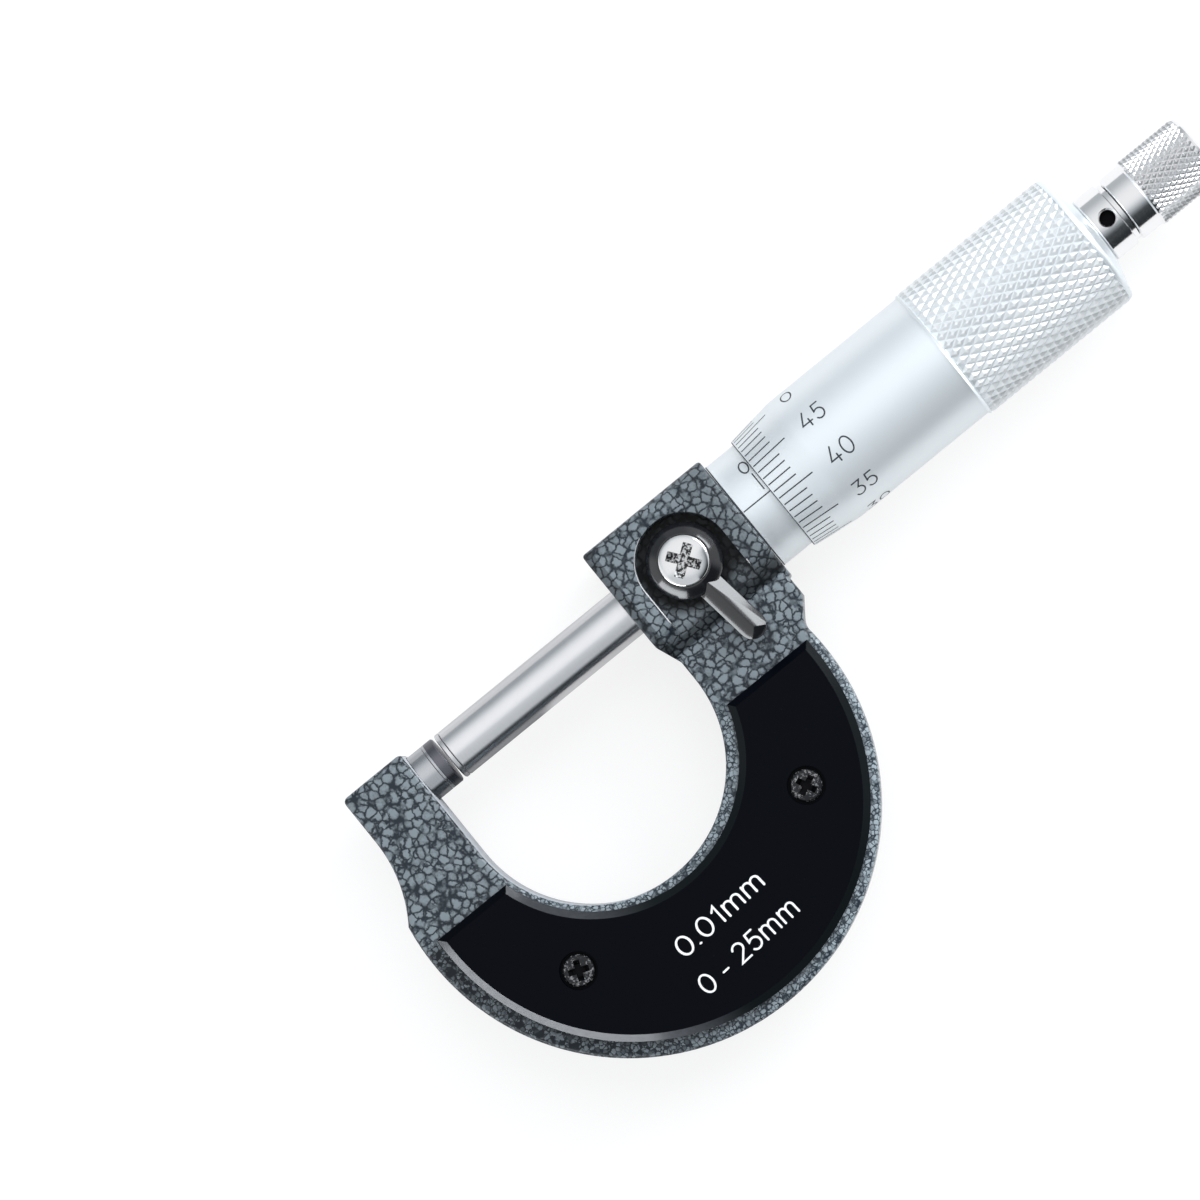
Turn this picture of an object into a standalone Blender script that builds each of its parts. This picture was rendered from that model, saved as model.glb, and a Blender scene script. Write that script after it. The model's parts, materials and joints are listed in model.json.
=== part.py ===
"""Outside micrometer, 0 to 25 mm, lying on its back.

The measuring axis runs along X, from the anvil at -X to the ratchet at +X. The front, with the lock
lever, looks up (+Z), and the frame's bow hangs towards -Y. Pieces are placed from the point where the
measuring axis meets the anvil's face. All sizes are in metres.
"""
import math

import bmesh
import bpy
from mathutils import Matrix

# Clearances
RUN_GAP = 0.00015        # round pieces that turn or slide inside each other
SEAT_GAP = 0.0001        # pieces that are fixed to each other
TOOTH_GAP = 0.00015      # between the tips of the ratchet's two rings of teeth
PAD_GAP = 0.00013        # between the lock's pad and the spindle, with the lock open
CUT_MARGIN = 0.001       # a cutter reaches this far past what it cuts

# Measuring range and screw
MEASURING_RANGE = 0.025
READING = 0.000414       # opening between the measuring faces at rest

# Anvil and spindle
SPINDLE_D = 0.0065
ANVIL_REACH = 0.00385    # from the frame to the anvil's measuring face
ANVIL_TIP_LENGTH = 0.0016
ANVIL_SEAT_DEPTH = 0.0066
SPINDLE_TIP_LENGTH = 0.0006
FACE_CHAMFER = 0.00015
THREAD_STEP = 0.00045    # the thread's crest stands this far above the plain spindle
THREAD_RELIEF = 0.0003
THREAD_GRIP = 0.0090     # length of the nut thread inside the screw sleeve
THREAD_LEAD_IN = 0.0004
TAPER_STEP = 0.0015      # the cone that carries the thimble stands this far above the thread
TAPER_LENGTH = 0.0075
TAPER_FALL = 0.0004

# Frame: anvil end, throat and bow
ANVIL_WALL = 0.00085     # metal in front of and behind the anvil
ANVIL_END_WIDTH = 0.0092
ANVIL_END_TOP = 0.00395
ANVIL_END_DROP = 0.0026  # straight part of the anvil end below the measuring axis
WAIST_R = 0.0182         # hollow between the anvil end and the bow
THROAT_R = 0.0169
THROAT_DEPTH = 0.0118    # from the measuring axis to the centre of the throat's round bottom
BOW_BULGE = 0.0039       # the bow stands this far outside the anvil end
BOW_SHIFT = 0.00085
BOW_DROP = 0.00685       # from the throat's centre to the bow's centre
SHOULDER_DROP = 0.0120   # where the right side leaves the boss and runs into the bow
SHOULDER_MEET = 0.0150
FRAME_ROUND = 0.0007

# Boss, which holds the screw sleeve and the lock
BOSS_OVERHANG = 0.0012   # into the throat
BOSS_LENGTH = 0.0184
BOSS_RISE = 0.0007       # top of the boss above the graduated sleeve
BOSS_CHAMFER = 0.0012
BOSS_ROUND = 0.0004
BOSS_FACE_DROP = 0.0050  # the front face ends this far below the axis
BOSS_SLOPE_DROP = 0.0085  # and its slope reaches the web here
BOSS_ROOT = 0.0008       # the slope runs this far into the web
MACHINED_STEP = 0.0004   # the boss's end face stands proud of the web's edge

# Lock
LOCK_OFFSET = 0.00935    # from the boss's left face to the lock's axis
LOCK_WALL = 0.0007       # metal between the sleeve's seat and the pocket's floor
POCKET_DEPTH = 0.0020
POCKET_WIDTH = 0.0119
LOCK_STUD_D = 0.0050
LOCK_KNOB_D = 0.0095
LOCK_KNOB_EDGE = 0.0014
LOCK_KNOB_HEIGHT = 0.0025
LOCK_ARM_WIDTH = 0.0035
LOCK_ARM_REACH = 0.0131
LOCK_ARM_SIDE = 0.0010
LOCK_ARM_RIDGE = 0.0021
LOCK_ARM_TIP = 0.0019
LOCK_REST_TILT = 7.6     # degrees from straight down, towards the ratchet
LOCK_SCREW_HEAD_D = 0.0063
LOCK_SCREW_HEAD_H = 0.0011
LOCK_SCREW_DOME = 0.0006
LOCK_SCREW_SINK = 0.0005
LOCK_SCREW_D = 0.0026
LOCK_SCREW_LENGTH = 0.0026
PAD_THICKNESS = 0.0010

# Sleeves
SCREW_SLEEVE_WALL = 0.00235
SLEEVE_WALL = 0.0014
SLEEVE_ZERO = 0.00405    # from the boss to the scale's zero line
SLEEVE_MARGIN = 0.0025   # sleeve beyond the scale's last line
SLEEVE_HOLE_D = 0.0016   # hook spanner's hole, for setting zero
SLEEVE_HOLE_X = 0.0021
SEAT_WALL = 0.0018       # wall of the screw sleeve inside the boss
SEAT_MARGIN = 0.0006     # between the lock's stud and the end of the screw sleeve
NUT_LENGTH = 0.0050
NUT_WALL = 0.0010
NUT_FALL = 0.0002        # taper of the slotted end under the nut
NUT_SLOT = 0.0010
SLIT_WIDTH = 0.0005
SLIT_LENGTH = 0.0070

# Thimble
THIMBLE_LIP = 0.0003     # thickness of its front edge
THIMBLE_WALL = 0.00115
THIMBLE_BEVEL = 0.0065
THIMBLE_PLAIN = 0.01995
KNURL_RISE = 0.0007
KNURL_HEIGHT = 0.000325
KNURL_LENGTH = 0.0226
KNURL_DIAMONDS = 36
KNURL_ROWS = 16
THIMBLE_CONE = 0.0010
THIMBLE_END_WALL = 0.0038
THIMBLE_MOUTH = 0.0006

# Ratchet
RATCHET_D = 0.0091
CAP_LENGTH = 0.0034
SPANNER_HOLE_D = 0.0020
SPANNER_HOLE_DEPTH = 0.0016
SPANNER_HOLE_X = 0.0020
GROOVE_WIDTH = 0.0006
GROOVE_DEPTH = 0.0004
SHANK_D = 0.0040
SHANK_LENGTH = 0.0085
JOURNAL_D = 0.0042
JOURNAL_FLAT = 0.0032    # across the two flats that turn the clutch
SPRING_WIRE = 0.0005
SPRING_D = 0.0056
SPRING_TURNS = 3.5
SPRING_LENGTH = 0.0036
SPRING_STEPS = 14        # points in each turn
CLUTCH_WALL = 0.0014
CLUTCH_LENGTH = 0.0015
TOOTH_COUNT = 12
TOOTH_HEIGHT = 0.0006
KNOB_COLLAR = 0.0032
KNOB_KNURL_LENGTH = 0.0089
KNOB_KNURL_HEIGHT = 0.0003
KNOB_DIAMONDS = 24
KNOB_ROWS = 8
KNOB_CHAMFER = 0.0004
KNOB_BEARING = 0.0028
RATCHET_SCREW_HEAD_D = 0.0062
RATCHET_SCREW_HEAD_H = 0.0014
RATCHET_SCREW_D = 0.0022
RATCHET_SCREW_LENGTH = 0.0045
SCREW_SLOT_WIDTH = 0.0008
SCREW_SLOT_DEPTH = 0.0006

# Plates on the bow and their screws
PLATE_THICKNESS = 0.0015
PLATE_BEVEL = 0.0009
PLATE_MARGIN = 0.0017
PLATE_INNER_MARGIN = 0.0012
PLATE_SHIFT = 0.0006
PLATE_TOP_DROP = 0.01675
PLATE_SCREW_ANGLE = 33.5  # degrees below the bow's centre line
PLATE_SCREW_INSET = 0.0077  # from the plate's outer edge
PLATE_SCREW_HEAD_D = 0.0040
PLATE_SCREW_HEAD_H = 0.0009
PLATE_SCREW_SINK = 0.0010  # depth of the counterbore below the plate's face
PLATE_SCREW_COUNTERBORE = 0.0048
PLATE_SCREW_D = 0.0020
PLATE_SCREW_LENGTH = 0.0032
PLATE_SCREW_EDGE = 0.0003
CROSS_WIDTH = 0.0006
CROSS_DEPTH = 0.0006
CROSS_SHARE = 0.6        # of the head's diameter

# Facets round a full turn
BIG_STEPS = 40
MID_STEPS = 32
SMALL_STEPS = 20
DOME_STEPS = 5
ARC_STEP = 7.5           # degrees

# Radii that follow from the sizes above
spindle_r = SPINDLE_D / 2
thread_r = spindle_r + THREAD_STEP
guide_r = spindle_r + RUN_GAP
seat_r = guide_r + SEAT_WALL
nut_thread_r = thread_r + RUN_GAP
screw_sleeve_r = nut_thread_r + SCREW_SLEEVE_WALL
sleeve_bore_r = screw_sleeve_r + SEAT_GAP
sleeve_r = sleeve_bore_r + SLEEVE_WALL
taper_r = thread_r + TAPER_STEP
thimble_bore_r = sleeve_r + RUN_GAP
thimble_r = thimble_bore_r + THIMBLE_WALL
knurl_r = thimble_r + KNURL_HEIGHT
ratchet_r = RATCHET_D / 2
journal_r = JOURNAL_D / 2
clutch_bore_r = journal_r + SEAT_GAP
clutch_r = clutch_bore_r + CLUTCH_WALL
knob_bore_r = clutch_r + RUN_GAP
web_half = spindle_r + SEAT_GAP + ANVIL_WALL
pocket_z = seat_r + SEAT_GAP + LOCK_WALL
boss_half = pocket_z + POCKET_DEPTH
boss_top = sleeve_r + BOSS_RISE
bow_r = THROAT_R + ANVIL_END_WIDTH + BOW_BULGE + BOW_SHIFT
plate_r = bow_r - PLATE_MARGIN

# Places along the measuring axis, from the anvil's face
throat_x = THROAT_R - ANVIL_REACH
boss_x = throat_x + THROAT_R - BOSS_OVERHANG
boss_end = boss_x + BOSS_LENGTH
lock_x = boss_x + LOCK_OFFSET
seat_x = lock_x + LOCK_STUD_D / 2 + SEAT_MARGIN
sleeve_x = boss_end + SEAT_GAP
zero_x = boss_end + SLEEVE_ZERO
sleeve_end = zero_x + MEASURING_RANGE + SLEEVE_MARGIN
nut_x = sleeve_end + SEAT_GAP
nut_end = nut_x + NUT_LENGTH
# the thread starts where it still fills the nut thread when the spindle is fully open
thread_x = nut_end - THREAD_GRIP - MEASURING_RANGE - THREAD_LEAD_IN
thimble_x = zero_x + READING
knurl_x = thimble_x + THIMBLE_BEVEL + THIMBLE_PLAIN + KNURL_RISE
thimble_end = knurl_x + KNURL_LENGTH + THIMBLE_CONE
taper_end = thimble_end - THIMBLE_END_WALL
taper_x = taper_end - TAPER_LENGTH
cap_x = thimble_end + SEAT_GAP
groove_x = cap_x + CAP_LENGTH
journal_x = groove_x + GROOVE_WIDTH
spring_x = journal_x + SEAT_GAP
clutch_x = spring_x + SPRING_LENGTH + SEAT_GAP
teeth_x = clutch_x + CLUTCH_LENGTH + TOOTH_HEIGHT
knob_teeth_x = teeth_x + TOOTH_GAP
knob_x = journal_x + RUN_GAP
knob_end = knob_x + KNOB_COLLAR + KNOB_KNURL_LENGTH
bearing_x = knob_teeth_x + TOOTH_HEIGHT
journal_end = bearing_x + KNOB_BEARING + RUN_GAP
bow_x = throat_x + BOW_SHIFT
bow_y = -THROAT_DEPTH - BOW_DROP

# The model stands with its box's bottom centre on the world's origin
axis_place = (
    -(bow_x - bow_r + knob_end) / 2,
    -(bow_y - bow_r + knurl_r) / 2,
    knurl_r,
)


def clear_scene():
    for item in list(bpy.data.objects):
        bpy.data.objects.remove(item, do_unlink=True)


def new_collection(name, wire=False):
    group = bpy.data.collections.new(name)
    bpy.context.scene.collection.children.link(group)
    group.hide_render = wire
    return group


def make_material(name, colour, roughness, metallic):
    material = bpy.data.materials.new(name)
    material.use_nodes = True
    shader = material.node_tree.nodes["Principled BSDF"]
    shader.inputs["Base Color"].default_value = (*colour, 1.0)
    shader.inputs["Roughness"].default_value = roughness
    shader.inputs["Metallic"].default_value = metallic
    material.diffuse_color = (*colour, 1.0)
    return material


def add_part(name, mesh, look, parent, place=(0, 0, 0), turn=(0, 0, 0)):
    """One piece of the micrometer, in its own material."""
    item = bpy.data.objects.new(name, mesh)
    parts.objects.link(item)
    item.parent = parent
    item.location = place
    item.rotation_euler = turn
    item.data.materials.clear()
    item.data.materials.append(make_material(name, *look))
    return item


def add_cutter(name, mesh, parent, place=(0, 0, 0), turn=(0, 0, 0)):
    """A guide shape that only cuts or joins other pieces."""
    item = bpy.data.objects.new(name, mesh)
    cutters.objects.link(item)
    item.parent = parent
    item.location = place
    item.rotation_euler = turn
    item.display_type = 'WIRE'
    item.hide_render = True
    return item


def add_empty(name, parent, place=(0, 0, 0), turn=(0, 0, 0)):
    item = bpy.data.objects.new(name, None)
    parts.objects.link(item)
    item.parent = parent
    item.location = place
    item.rotation_euler = turn
    item.empty_display_size = 0.01
    return item


def combine(item, other, operation='DIFFERENCE'):
    modifier = item.modifiers.new(other.name, 'BOOLEAN')
    modifier.object = other
    modifier.operation = operation
    modifier.solver = 'EXACT'


def arc(x, y, radius, start, end):
    """Points along an arc, in degrees from +X, both ends included."""
    steps = max(2, math.ceil(abs(end - start) / ARC_STEP))
    angles = [math.radians(start + (end - start) * i / steps) for i in range(steps + 1)]
    return [(x + radius * math.cos(a), y + radius * math.sin(a)) for a in angles]


def angle_of(x, y, centre_x, centre_y):
    return math.degrees(math.atan2(y - centre_y, x - centre_x)) % 360


def circles_meet(ax, ay, ar, bx, by, br):
    """The lower of the two points where two circles cross."""
    dx, dy = bx - ax, by - ay
    distance = math.hypot(dx, dy)
    along = (ar * ar - br * br + distance * distance) / (2 * distance)
    aside = math.sqrt(ar * ar - along * along)
    x, y = ax + along * dx / distance, ay + along * dy / distance
    points = [(x + s * aside * dy / distance, y - s * aside * dx / distance) for s in (-1, 1)]
    return min(points, key=lambda p: p[1])


def prism(outline, low, high):
    """A closed mesh with this flat outline, from height low to height high."""
    curve = bpy.data.curves.new("outline", 'CURVE')
    curve.dimensions = '2D'
    curve.fill_mode = 'BOTH'
    curve.extrude = (high - low) / 2
    spline = curve.splines.new('POLY')
    spline.points.add(len(outline) - 1)
    for point, (x, y) in zip(spline.points, outline):
        point.co = (x, y, 0, 1)
    spline.use_cyclic_u = True
    item = bpy.data.objects.new("outline", curve)
    bpy.context.scene.collection.objects.link(item)
    mesh = evaluated_mesh(item)
    bpy.data.objects.remove(item)
    bpy.data.curves.remove(curve)
    mesh.transform(Matrix.Translation((0, 0, (low + high) / 2)))
    weld(mesh, flat_caps=True)
    return mesh


def evaluated_mesh(item):
    graph = bpy.context.evaluated_depsgraph_get()
    return bpy.data.meshes.new_from_object(item.evaluated_get(graph))


def weld(mesh, flat_caps=False):
    """Joins a curve's caps to its sides, and makes each flat cap one face."""
    work = bmesh.new()
    work.from_mesh(mesh)
    bmesh.ops.remove_doubles(work, verts=work.verts, dist=0.000002)
    if flat_caps:
        bmesh.ops.dissolve_limit(
            work, angle_limit=math.radians(0.5), verts=work.verts, edges=work.edges)
    bmesh.ops.recalc_face_normals(work, faces=work.faces)
    work.to_mesh(mesh)
    work.free()


def bevel_rim(mesh, height, width, segments):
    """Bevels the edges round the flat face at this height."""
    work = bmesh.new()
    work.from_mesh(mesh)
    edges = [
        e for e in work.edges
        if all(abs(v.co.z - height) < 0.00001 for v in e.verts) and e.calc_face_angle(0) > 1.0
    ]
    bmesh.ops.bevel(work, geom=edges, offset=width, segments=segments, affect='EDGES', profile=0.5)
    work.to_mesh(mesh)
    work.free()


def add_bevel(item, width, segments):
    modifier = item.modifiers.new("edges", 'BEVEL')
    modifier.width = width
    modifier.segments = segments
    modifier.limit_method = 'ANGLE'
    modifier.angle_limit = math.radians(50)


def profile_mesh(profile, closed):
    """Edges along a half section of (radius, height) points, for the Screw modifier."""
    mesh = bpy.data.meshes.new("profile")
    count = len(profile)
    edges = [(i, i + 1) for i in range(count - 1)]
    if closed:
        edges.append((count - 1, 0))
    mesh.from_pydata([(r, 0, h) for r, h in profile], edges, [])
    return mesh


def add_screw(item, steps):
    modifier = item.modifiers.new("turned", 'SCREW')
    modifier.steps = steps
    modifier.render_steps = steps
    modifier.use_merge_vertices = True
    modifier.merge_threshold = 0.00001
    modifier.use_smooth_shade = True


def turned(profile, steps):
    """A turned solid about Z: its half section runs down the outer side, top to bottom."""
    closed = profile[0][0] > 0
    item = bpy.data.objects.new("turned", profile_mesh(profile, closed))
    bpy.context.scene.collection.objects.link(item)
    add_screw(item, steps)
    mesh = evaluated_mesh(item)
    bpy.data.objects.remove(item)
    mesh.shade_smooth()
    mesh.set_sharp_from_angle(angle=math.radians(30))
    return mesh


def rod(radius, low, high, steps):
    mesh = bpy.data.meshes.new("rod")
    work = bmesh.new()
    bmesh.ops.create_cone(
        work, cap_ends=True, segments=steps, radius1=radius, radius2=radius, depth=high - low,
        matrix=Matrix.Translation((0, 0, (low + high) / 2)),
    )
    work.to_mesh(mesh)
    work.free()
    return mesh


def block(size_x, size_y, low, high):
    mesh = bpy.data.meshes.new("block")
    work = bmesh.new()
    scale = Matrix.Diagonal((size_x, size_y, high - low, 1))
    bmesh.ops.create_cube(work, size=1, matrix=Matrix.Translation((0, 0, (low + high) / 2)) @ scale)
    work.to_mesh(mesh)
    work.free()
    return mesh


def knurled_solid(before, start, length, valley, height, diamonds, rows, after):
    """A solid of revolution about Z with a band of diamond knurl.

    before and after are (radius, height) points below and above the band. Each diamond is a low
    pyramid: its peak stands between four valley points, and the grooves run along the diagonals.
    """
    columns = 2 * diamonds
    turn = 2 * math.pi / columns
    work = bmesh.new()

    def ring(radii, z):
        return [
            work.verts.new((radii[i % 2] * math.cos(i * turn), radii[i % 2] * math.sin(i * turn), z))
            for i in range(columns)
        ]

    rings = [ring((r, r), z) for r, z in before]
    for row in range(rows + 1):
        peak = valley + height
        edge = row in (0, rows)
        radii = (valley, valley) if edge else ((peak, valley) if row % 2 else (valley, peak))
        rings.append(ring(radii, start + length * row / rows))
    rings += [ring((r, r), z) for r, z in after]
    first_row = len(before)
    for level, (low, high) in enumerate(zip(rings, rings[1:])):
        row = level - first_row
        knurl = 0 <= row < rows
        for i in range(columns):
            a, b = low[i], low[(i + 1) % columns]
            c, d = high[(i + 1) % columns], high[i]
            if not knurl:
                work.faces.new((a, b, c, d))
            elif (i + row) % 2:
                work.faces.new((a, b, d))
                work.faces.new((b, c, d))
            else:
                work.faces.new((a, b, c))
                work.faces.new((a, c, d))
    work.faces.new(reversed(rings[0]))
    work.faces.new(rings[-1])
    bmesh.ops.recalc_face_normals(work, faces=work.faces)
    mesh = bpy.data.meshes.new("knurled")
    work.to_mesh(mesh)
    work.free()
    return mesh


def saw_teeth(inner, outer, height, count, side):
    """Wedges that cut a crown of saw teeth into a flat face at z = 0, which looks to this side."""
    work = bmesh.new()
    pitch = 2 * math.pi / count
    ramp, lead = 0.90 * pitch, 0.05 * pitch
    section = ((-lead, height * lead / ramp), (ramp, -height), (ramp, height))
    for tooth in range(count):
        corners = []
        for radius in (inner, outer):
            for offset, z in section:
                angle = tooth * pitch + offset
                corners.append((radius * math.cos(angle), radius * math.sin(angle), side * z))
        v = [work.verts.new(c) for c in corners]
        work.faces.new((v[0], v[1], v[2]))
        work.faces.new((v[3], v[5], v[4]))
        work.faces.new((v[0], v[3], v[4], v[1]))
        work.faces.new((v[1], v[4], v[5], v[2]))
        work.faces.new((v[2], v[5], v[3], v[0]))
    bmesh.ops.recalc_face_normals(work, faces=work.faces)
    mesh = bpy.data.meshes.new("saw")
    work.to_mesh(mesh)
    work.free()
    return mesh


clear_scene()
parts = new_collection("outside_micrometer")
cutters = new_collection("cutters", wire=True)

# Turning a piece that was made about Z onto the measuring axis
ALONG_X = (0, math.pi / 2, 0)
# Standing an outline drawn in (y, z) across the measuring axis
ACROSS_X = (math.pi / 2, 0, math.pi / 2)
FACE_DOWN = (math.pi, 0, 0)

PAINT = ((0.20, 0.24, 0.29), 0.38, 0.35)
STEEL = ((0.62, 0.63, 0.65), 0.30, 1.0)
CARBIDE = ((0.33, 0.33, 0.35), 0.28, 1.0)
CHROME = ((0.80, 0.83, 0.86), 0.32, 1.0)
MIRROR = ((0.85, 0.85, 0.86), 0.08, 1.0)
BLACK = ((0.012, 0.013, 0.018), 0.16, 0.0)
BLACK_METAL = ((0.02, 0.02, 0.024), 0.25, 0.4)
BRASS = ((0.78, 0.57, 0.22), 0.30, 1.0)
SPRING = ((0.50, 0.50, 0.52), 0.30, 1.0)


def web_outline():
    left = -ANVIL_REACH - ANVIL_END_WIDTH
    right = boss_end - MACHINED_STEP
    waist_x, waist_y = left - WAIST_R, -ANVIL_END_DROP
    meet_x, meet_y = circles_meet(waist_x, waist_y, WAIST_R, bow_x, bow_y, bow_r)
    waist_end = angle_of(meet_x, meet_y, waist_x, waist_y) - 360
    bow_start = angle_of(meet_x, meet_y, bow_x, bow_y)
    shoulder = 360 + math.degrees(math.asin((-SHOULDER_MEET - bow_y) / bow_r))
    inside_boss = -BOSS_FACE_DROP
    return (
        [(-ANVIL_REACH, ANVIL_END_TOP), (left, ANVIL_END_TOP)]
        + arc(waist_x, waist_y, WAIST_R, 0, waist_end)[:-1]
        + arc(bow_x, bow_y, bow_r, bow_start, 180)[:-1]
        + arc(bow_x, bow_y, bow_r, 180, 270)[:-1]
        + arc(bow_x, bow_y, bow_r, 270, shoulder)
        + [(right, -SHOULDER_DROP), (right, inside_boss)]
        + [(throat_x + THROAT_R, inside_boss)]
        + arc(throat_x, -THROAT_DEPTH, THROAT_R, 360, 180)
    )


def boss_outline():
    """The boss's section in (y, z): flat front and back, sloped down to the web."""
    slope = (boss_half - web_half) / (BOSS_SLOPE_DROP - BOSS_FACE_DROP)
    half = [
        (boss_top, boss_half - BOSS_CHAMFER),
        (boss_top - BOSS_CHAMFER, boss_half),
        (-BOSS_FACE_DROP, boss_half),
        (-BOSS_SLOPE_DROP - BOSS_ROOT, web_half - slope * BOSS_ROOT),
    ]
    return half + [(y, -z) for y, z in reversed(half)]


def pocket_outline():
    half, low = POCKET_WIDTH / 2, -BOSS_SLOPE_DROP - CUT_MARGIN
    return arc(0, 0, half, 0, 180) + [(-half, low), (half, low)]


def make_frame(root):
    frame = add_part("frame", prism(web_outline(), -web_half, web_half), PAINT, root)
    add_bevel(frame, FRAME_ROUND, 2)
    boss = add_cutter(
        "boss", prism(boss_outline(), 0, BOSS_LENGTH), root, (boss_x, 0, 0), ACROSS_X)
    add_bevel(boss, BOSS_ROUND, 1)
    combine(frame, boss, 'UNION')
    cuts = {
        "anvil_hole": add_cutter(
            "anvil_hole", rod(spindle_r + SEAT_GAP, 0, ANVIL_SEAT_DEPTH + CUT_MARGIN, MID_STEPS), root,
            (-ANVIL_REACH - ANVIL_SEAT_DEPTH - SEAT_GAP, 0, 0), ALONG_X),
        "spindle_hole": add_cutter(
            "spindle_hole", rod(guide_r, -CUT_MARGIN, seat_x + CUT_MARGIN - boss_x, MID_STEPS), root,
            (boss_x, 0, 0), ALONG_X),
        "sleeve_hole": add_cutter(
            "sleeve_hole", rod(seat_r + SEAT_GAP, 0, boss_end + CUT_MARGIN - seat_x, MID_STEPS), root,
            (seat_x, 0, 0), ALONG_X),
        "lock_pocket": add_cutter(
            "lock_pocket", prism(pocket_outline(), pocket_z, boss_half + CUT_MARGIN), root,
            (lock_x, 0, 0)),
        "lock_hole": add_cutter(
            "lock_hole", rod(LOCK_STUD_D / 2 + SEAT_GAP, 0, boss_half, SMALL_STEPS), root,
            (lock_x, 0, 0)),
    }
    for side, x, y in screw_places():
        cuts[side] = add_cutter(
            "plate_screw_hole_" + side,
            rod(PLATE_SCREW_D / 2 + SEAT_GAP, -boss_half, boss_half, SMALL_STEPS), root, (x, y, 0))
    for cutter in cuts.values():
        combine(frame, cutter)
    return frame


def make_anvil(root):
    length = ANVIL_SEAT_DEPTH + ANVIL_REACH - ANVIL_TIP_LENGTH - SEAT_GAP
    profile = [
        (0, length), (spindle_r, length), (spindle_r, FACE_CHAMFER),
        (spindle_r - FACE_CHAMFER, 0), (0, 0),
    ]
    add_part("anvil", turned(profile, MID_STEPS), STEEL, root,
             (-ANVIL_REACH - ANVIL_SEAT_DEPTH, 0, 0), ALONG_X)
    add_part("anvil_tip", tip_mesh(ANVIL_TIP_LENGTH, ANVIL_TIP_LENGTH), CARBIDE, root,
             (-ANVIL_TIP_LENGTH, 0, 0), ALONG_X)


def tip_mesh(length, face):
    """A round carbide tip of this length; its measuring face is the one at height face."""
    c = FACE_CHAMFER
    top_c, low_c = (c, 0) if face > 0 else (0, c)
    profile = [(0, length), (spindle_r - top_c, length), (spindle_r, length - top_c),
               (spindle_r, low_c), (spindle_r - low_c, 0), (0, 0)]
    corners = [p for i, p in enumerate(profile) if i == 0 or p != profile[i - 1]]
    return turned(corners, MID_STEPS)


def make_screw_sleeve(root):
    """Inner sleeve: seated in the boss, guides the spindle and holds its nut thread."""
    start = seat_x + SEAT_GAP
    nut_seat_r = screw_sleeve_r - NUT_WALL / 2
    relief_x, grip_x = thread_x - CUT_MARGIN, nut_end - THREAD_GRIP
    relief_r = thread_r + THREAD_RELIEF
    section = [
        (nut_seat_r - NUT_FALL, nut_end), (nut_seat_r, nut_x), (screw_sleeve_r, nut_x),
        (screw_sleeve_r, boss_end + SEAT_GAP), (seat_r, boss_end + SEAT_GAP), (seat_r, start),
        (guide_r, start), (guide_r, relief_x), (relief_r, relief_x), (relief_r, grip_x),
        (nut_thread_r, grip_x), (nut_thread_r, nut_end),
    ]
    profile = [(r, x - start) for r, x in section]
    sleeve = add_part("screw_sleeve", turned(profile, MID_STEPS), STEEL, root, (start, 0, 0), ALONG_X)
    for index in range(3):
        slit = block(SLIT_WIDTH, 2 * sleeve_r, 0, SLIT_LENGTH + CUT_MARGIN)
        slit.transform(Matrix.Translation((0, sleeve_r + guide_r / 2, 0)))
        slit.transform(Matrix.Rotation(2 * math.pi * index / 3, 4, 'Z'))
        place = (nut_end - SLIT_LENGTH, 0, 0)
        combine(sleeve, add_cutter(f"slit_{index}", slit, root, place, ALONG_X))


def make_graduated_sleeve(root):
    length = sleeve_end - sleeve_x
    profile = [(sleeve_r, length), (sleeve_r, 0), (sleeve_bore_r, 0), (sleeve_bore_r, length)]
    sleeve = add_part("graduated_sleeve", turned(profile, BIG_STEPS), CHROME, root,
                      (sleeve_x, 0, 0), ALONG_X)
    hole = rod(SLEEVE_HOLE_D / 2, 0, sleeve_r + CUT_MARGIN, SMALL_STEPS)
    place = (sleeve_x + SLEEVE_HOLE_X, 0, 0)
    combine(sleeve, add_cutter("hook_hole", hole, root, place, FACE_DOWN))


def make_adjusting_nut(root):
    inner = screw_sleeve_r - NUT_WALL / 2 + SEAT_GAP
    outer = screw_sleeve_r + NUT_WALL / 2
    profile = [(outer, NUT_LENGTH - SEAT_GAP), (outer, SEAT_GAP), (inner, SEAT_GAP),
               (inner - NUT_FALL, NUT_LENGTH - SEAT_GAP)]
    nut = add_part("adjusting_nut", turned(profile, MID_STEPS), STEEL, root, (nut_x, 0, 0), ALONG_X)
    slot = block(NUT_SLOT, 2 * sleeve_r, 0, NUT_SLOT + CUT_MARGIN)
    place = (nut_end - NUT_SLOT, 0, 0)
    combine(nut, add_cutter("nut_slot", slot, root, place, ALONG_X))


def make_spindle(axis):
    start = READING + SPINDLE_TIP_LENGTH + SEAT_GAP
    thread_end = nut_end + THREAD_LEAD_IN
    tap_r, tap_x = SHANK_D / 2 + SEAT_GAP, cap_x - SHANK_LENGTH - SEAT_GAP
    section = [
        (0, tap_x), (tap_r, tap_x), (tap_r, taper_end), (taper_r - TAPER_FALL, taper_end),
        (taper_r, taper_x), (spindle_r, taper_x), (spindle_r, thread_end),
        (thread_r, thread_end - THREAD_LEAD_IN / 2), (thread_r, thread_x),
        (spindle_r, thread_x - THREAD_LEAD_IN), (spindle_r, start), (0, start),
    ]
    profile = [(r, x - start) for r, x in section]
    add_part("spindle", turned(profile, MID_STEPS), STEEL, axis, (start, 0, 0), ALONG_X)


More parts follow.
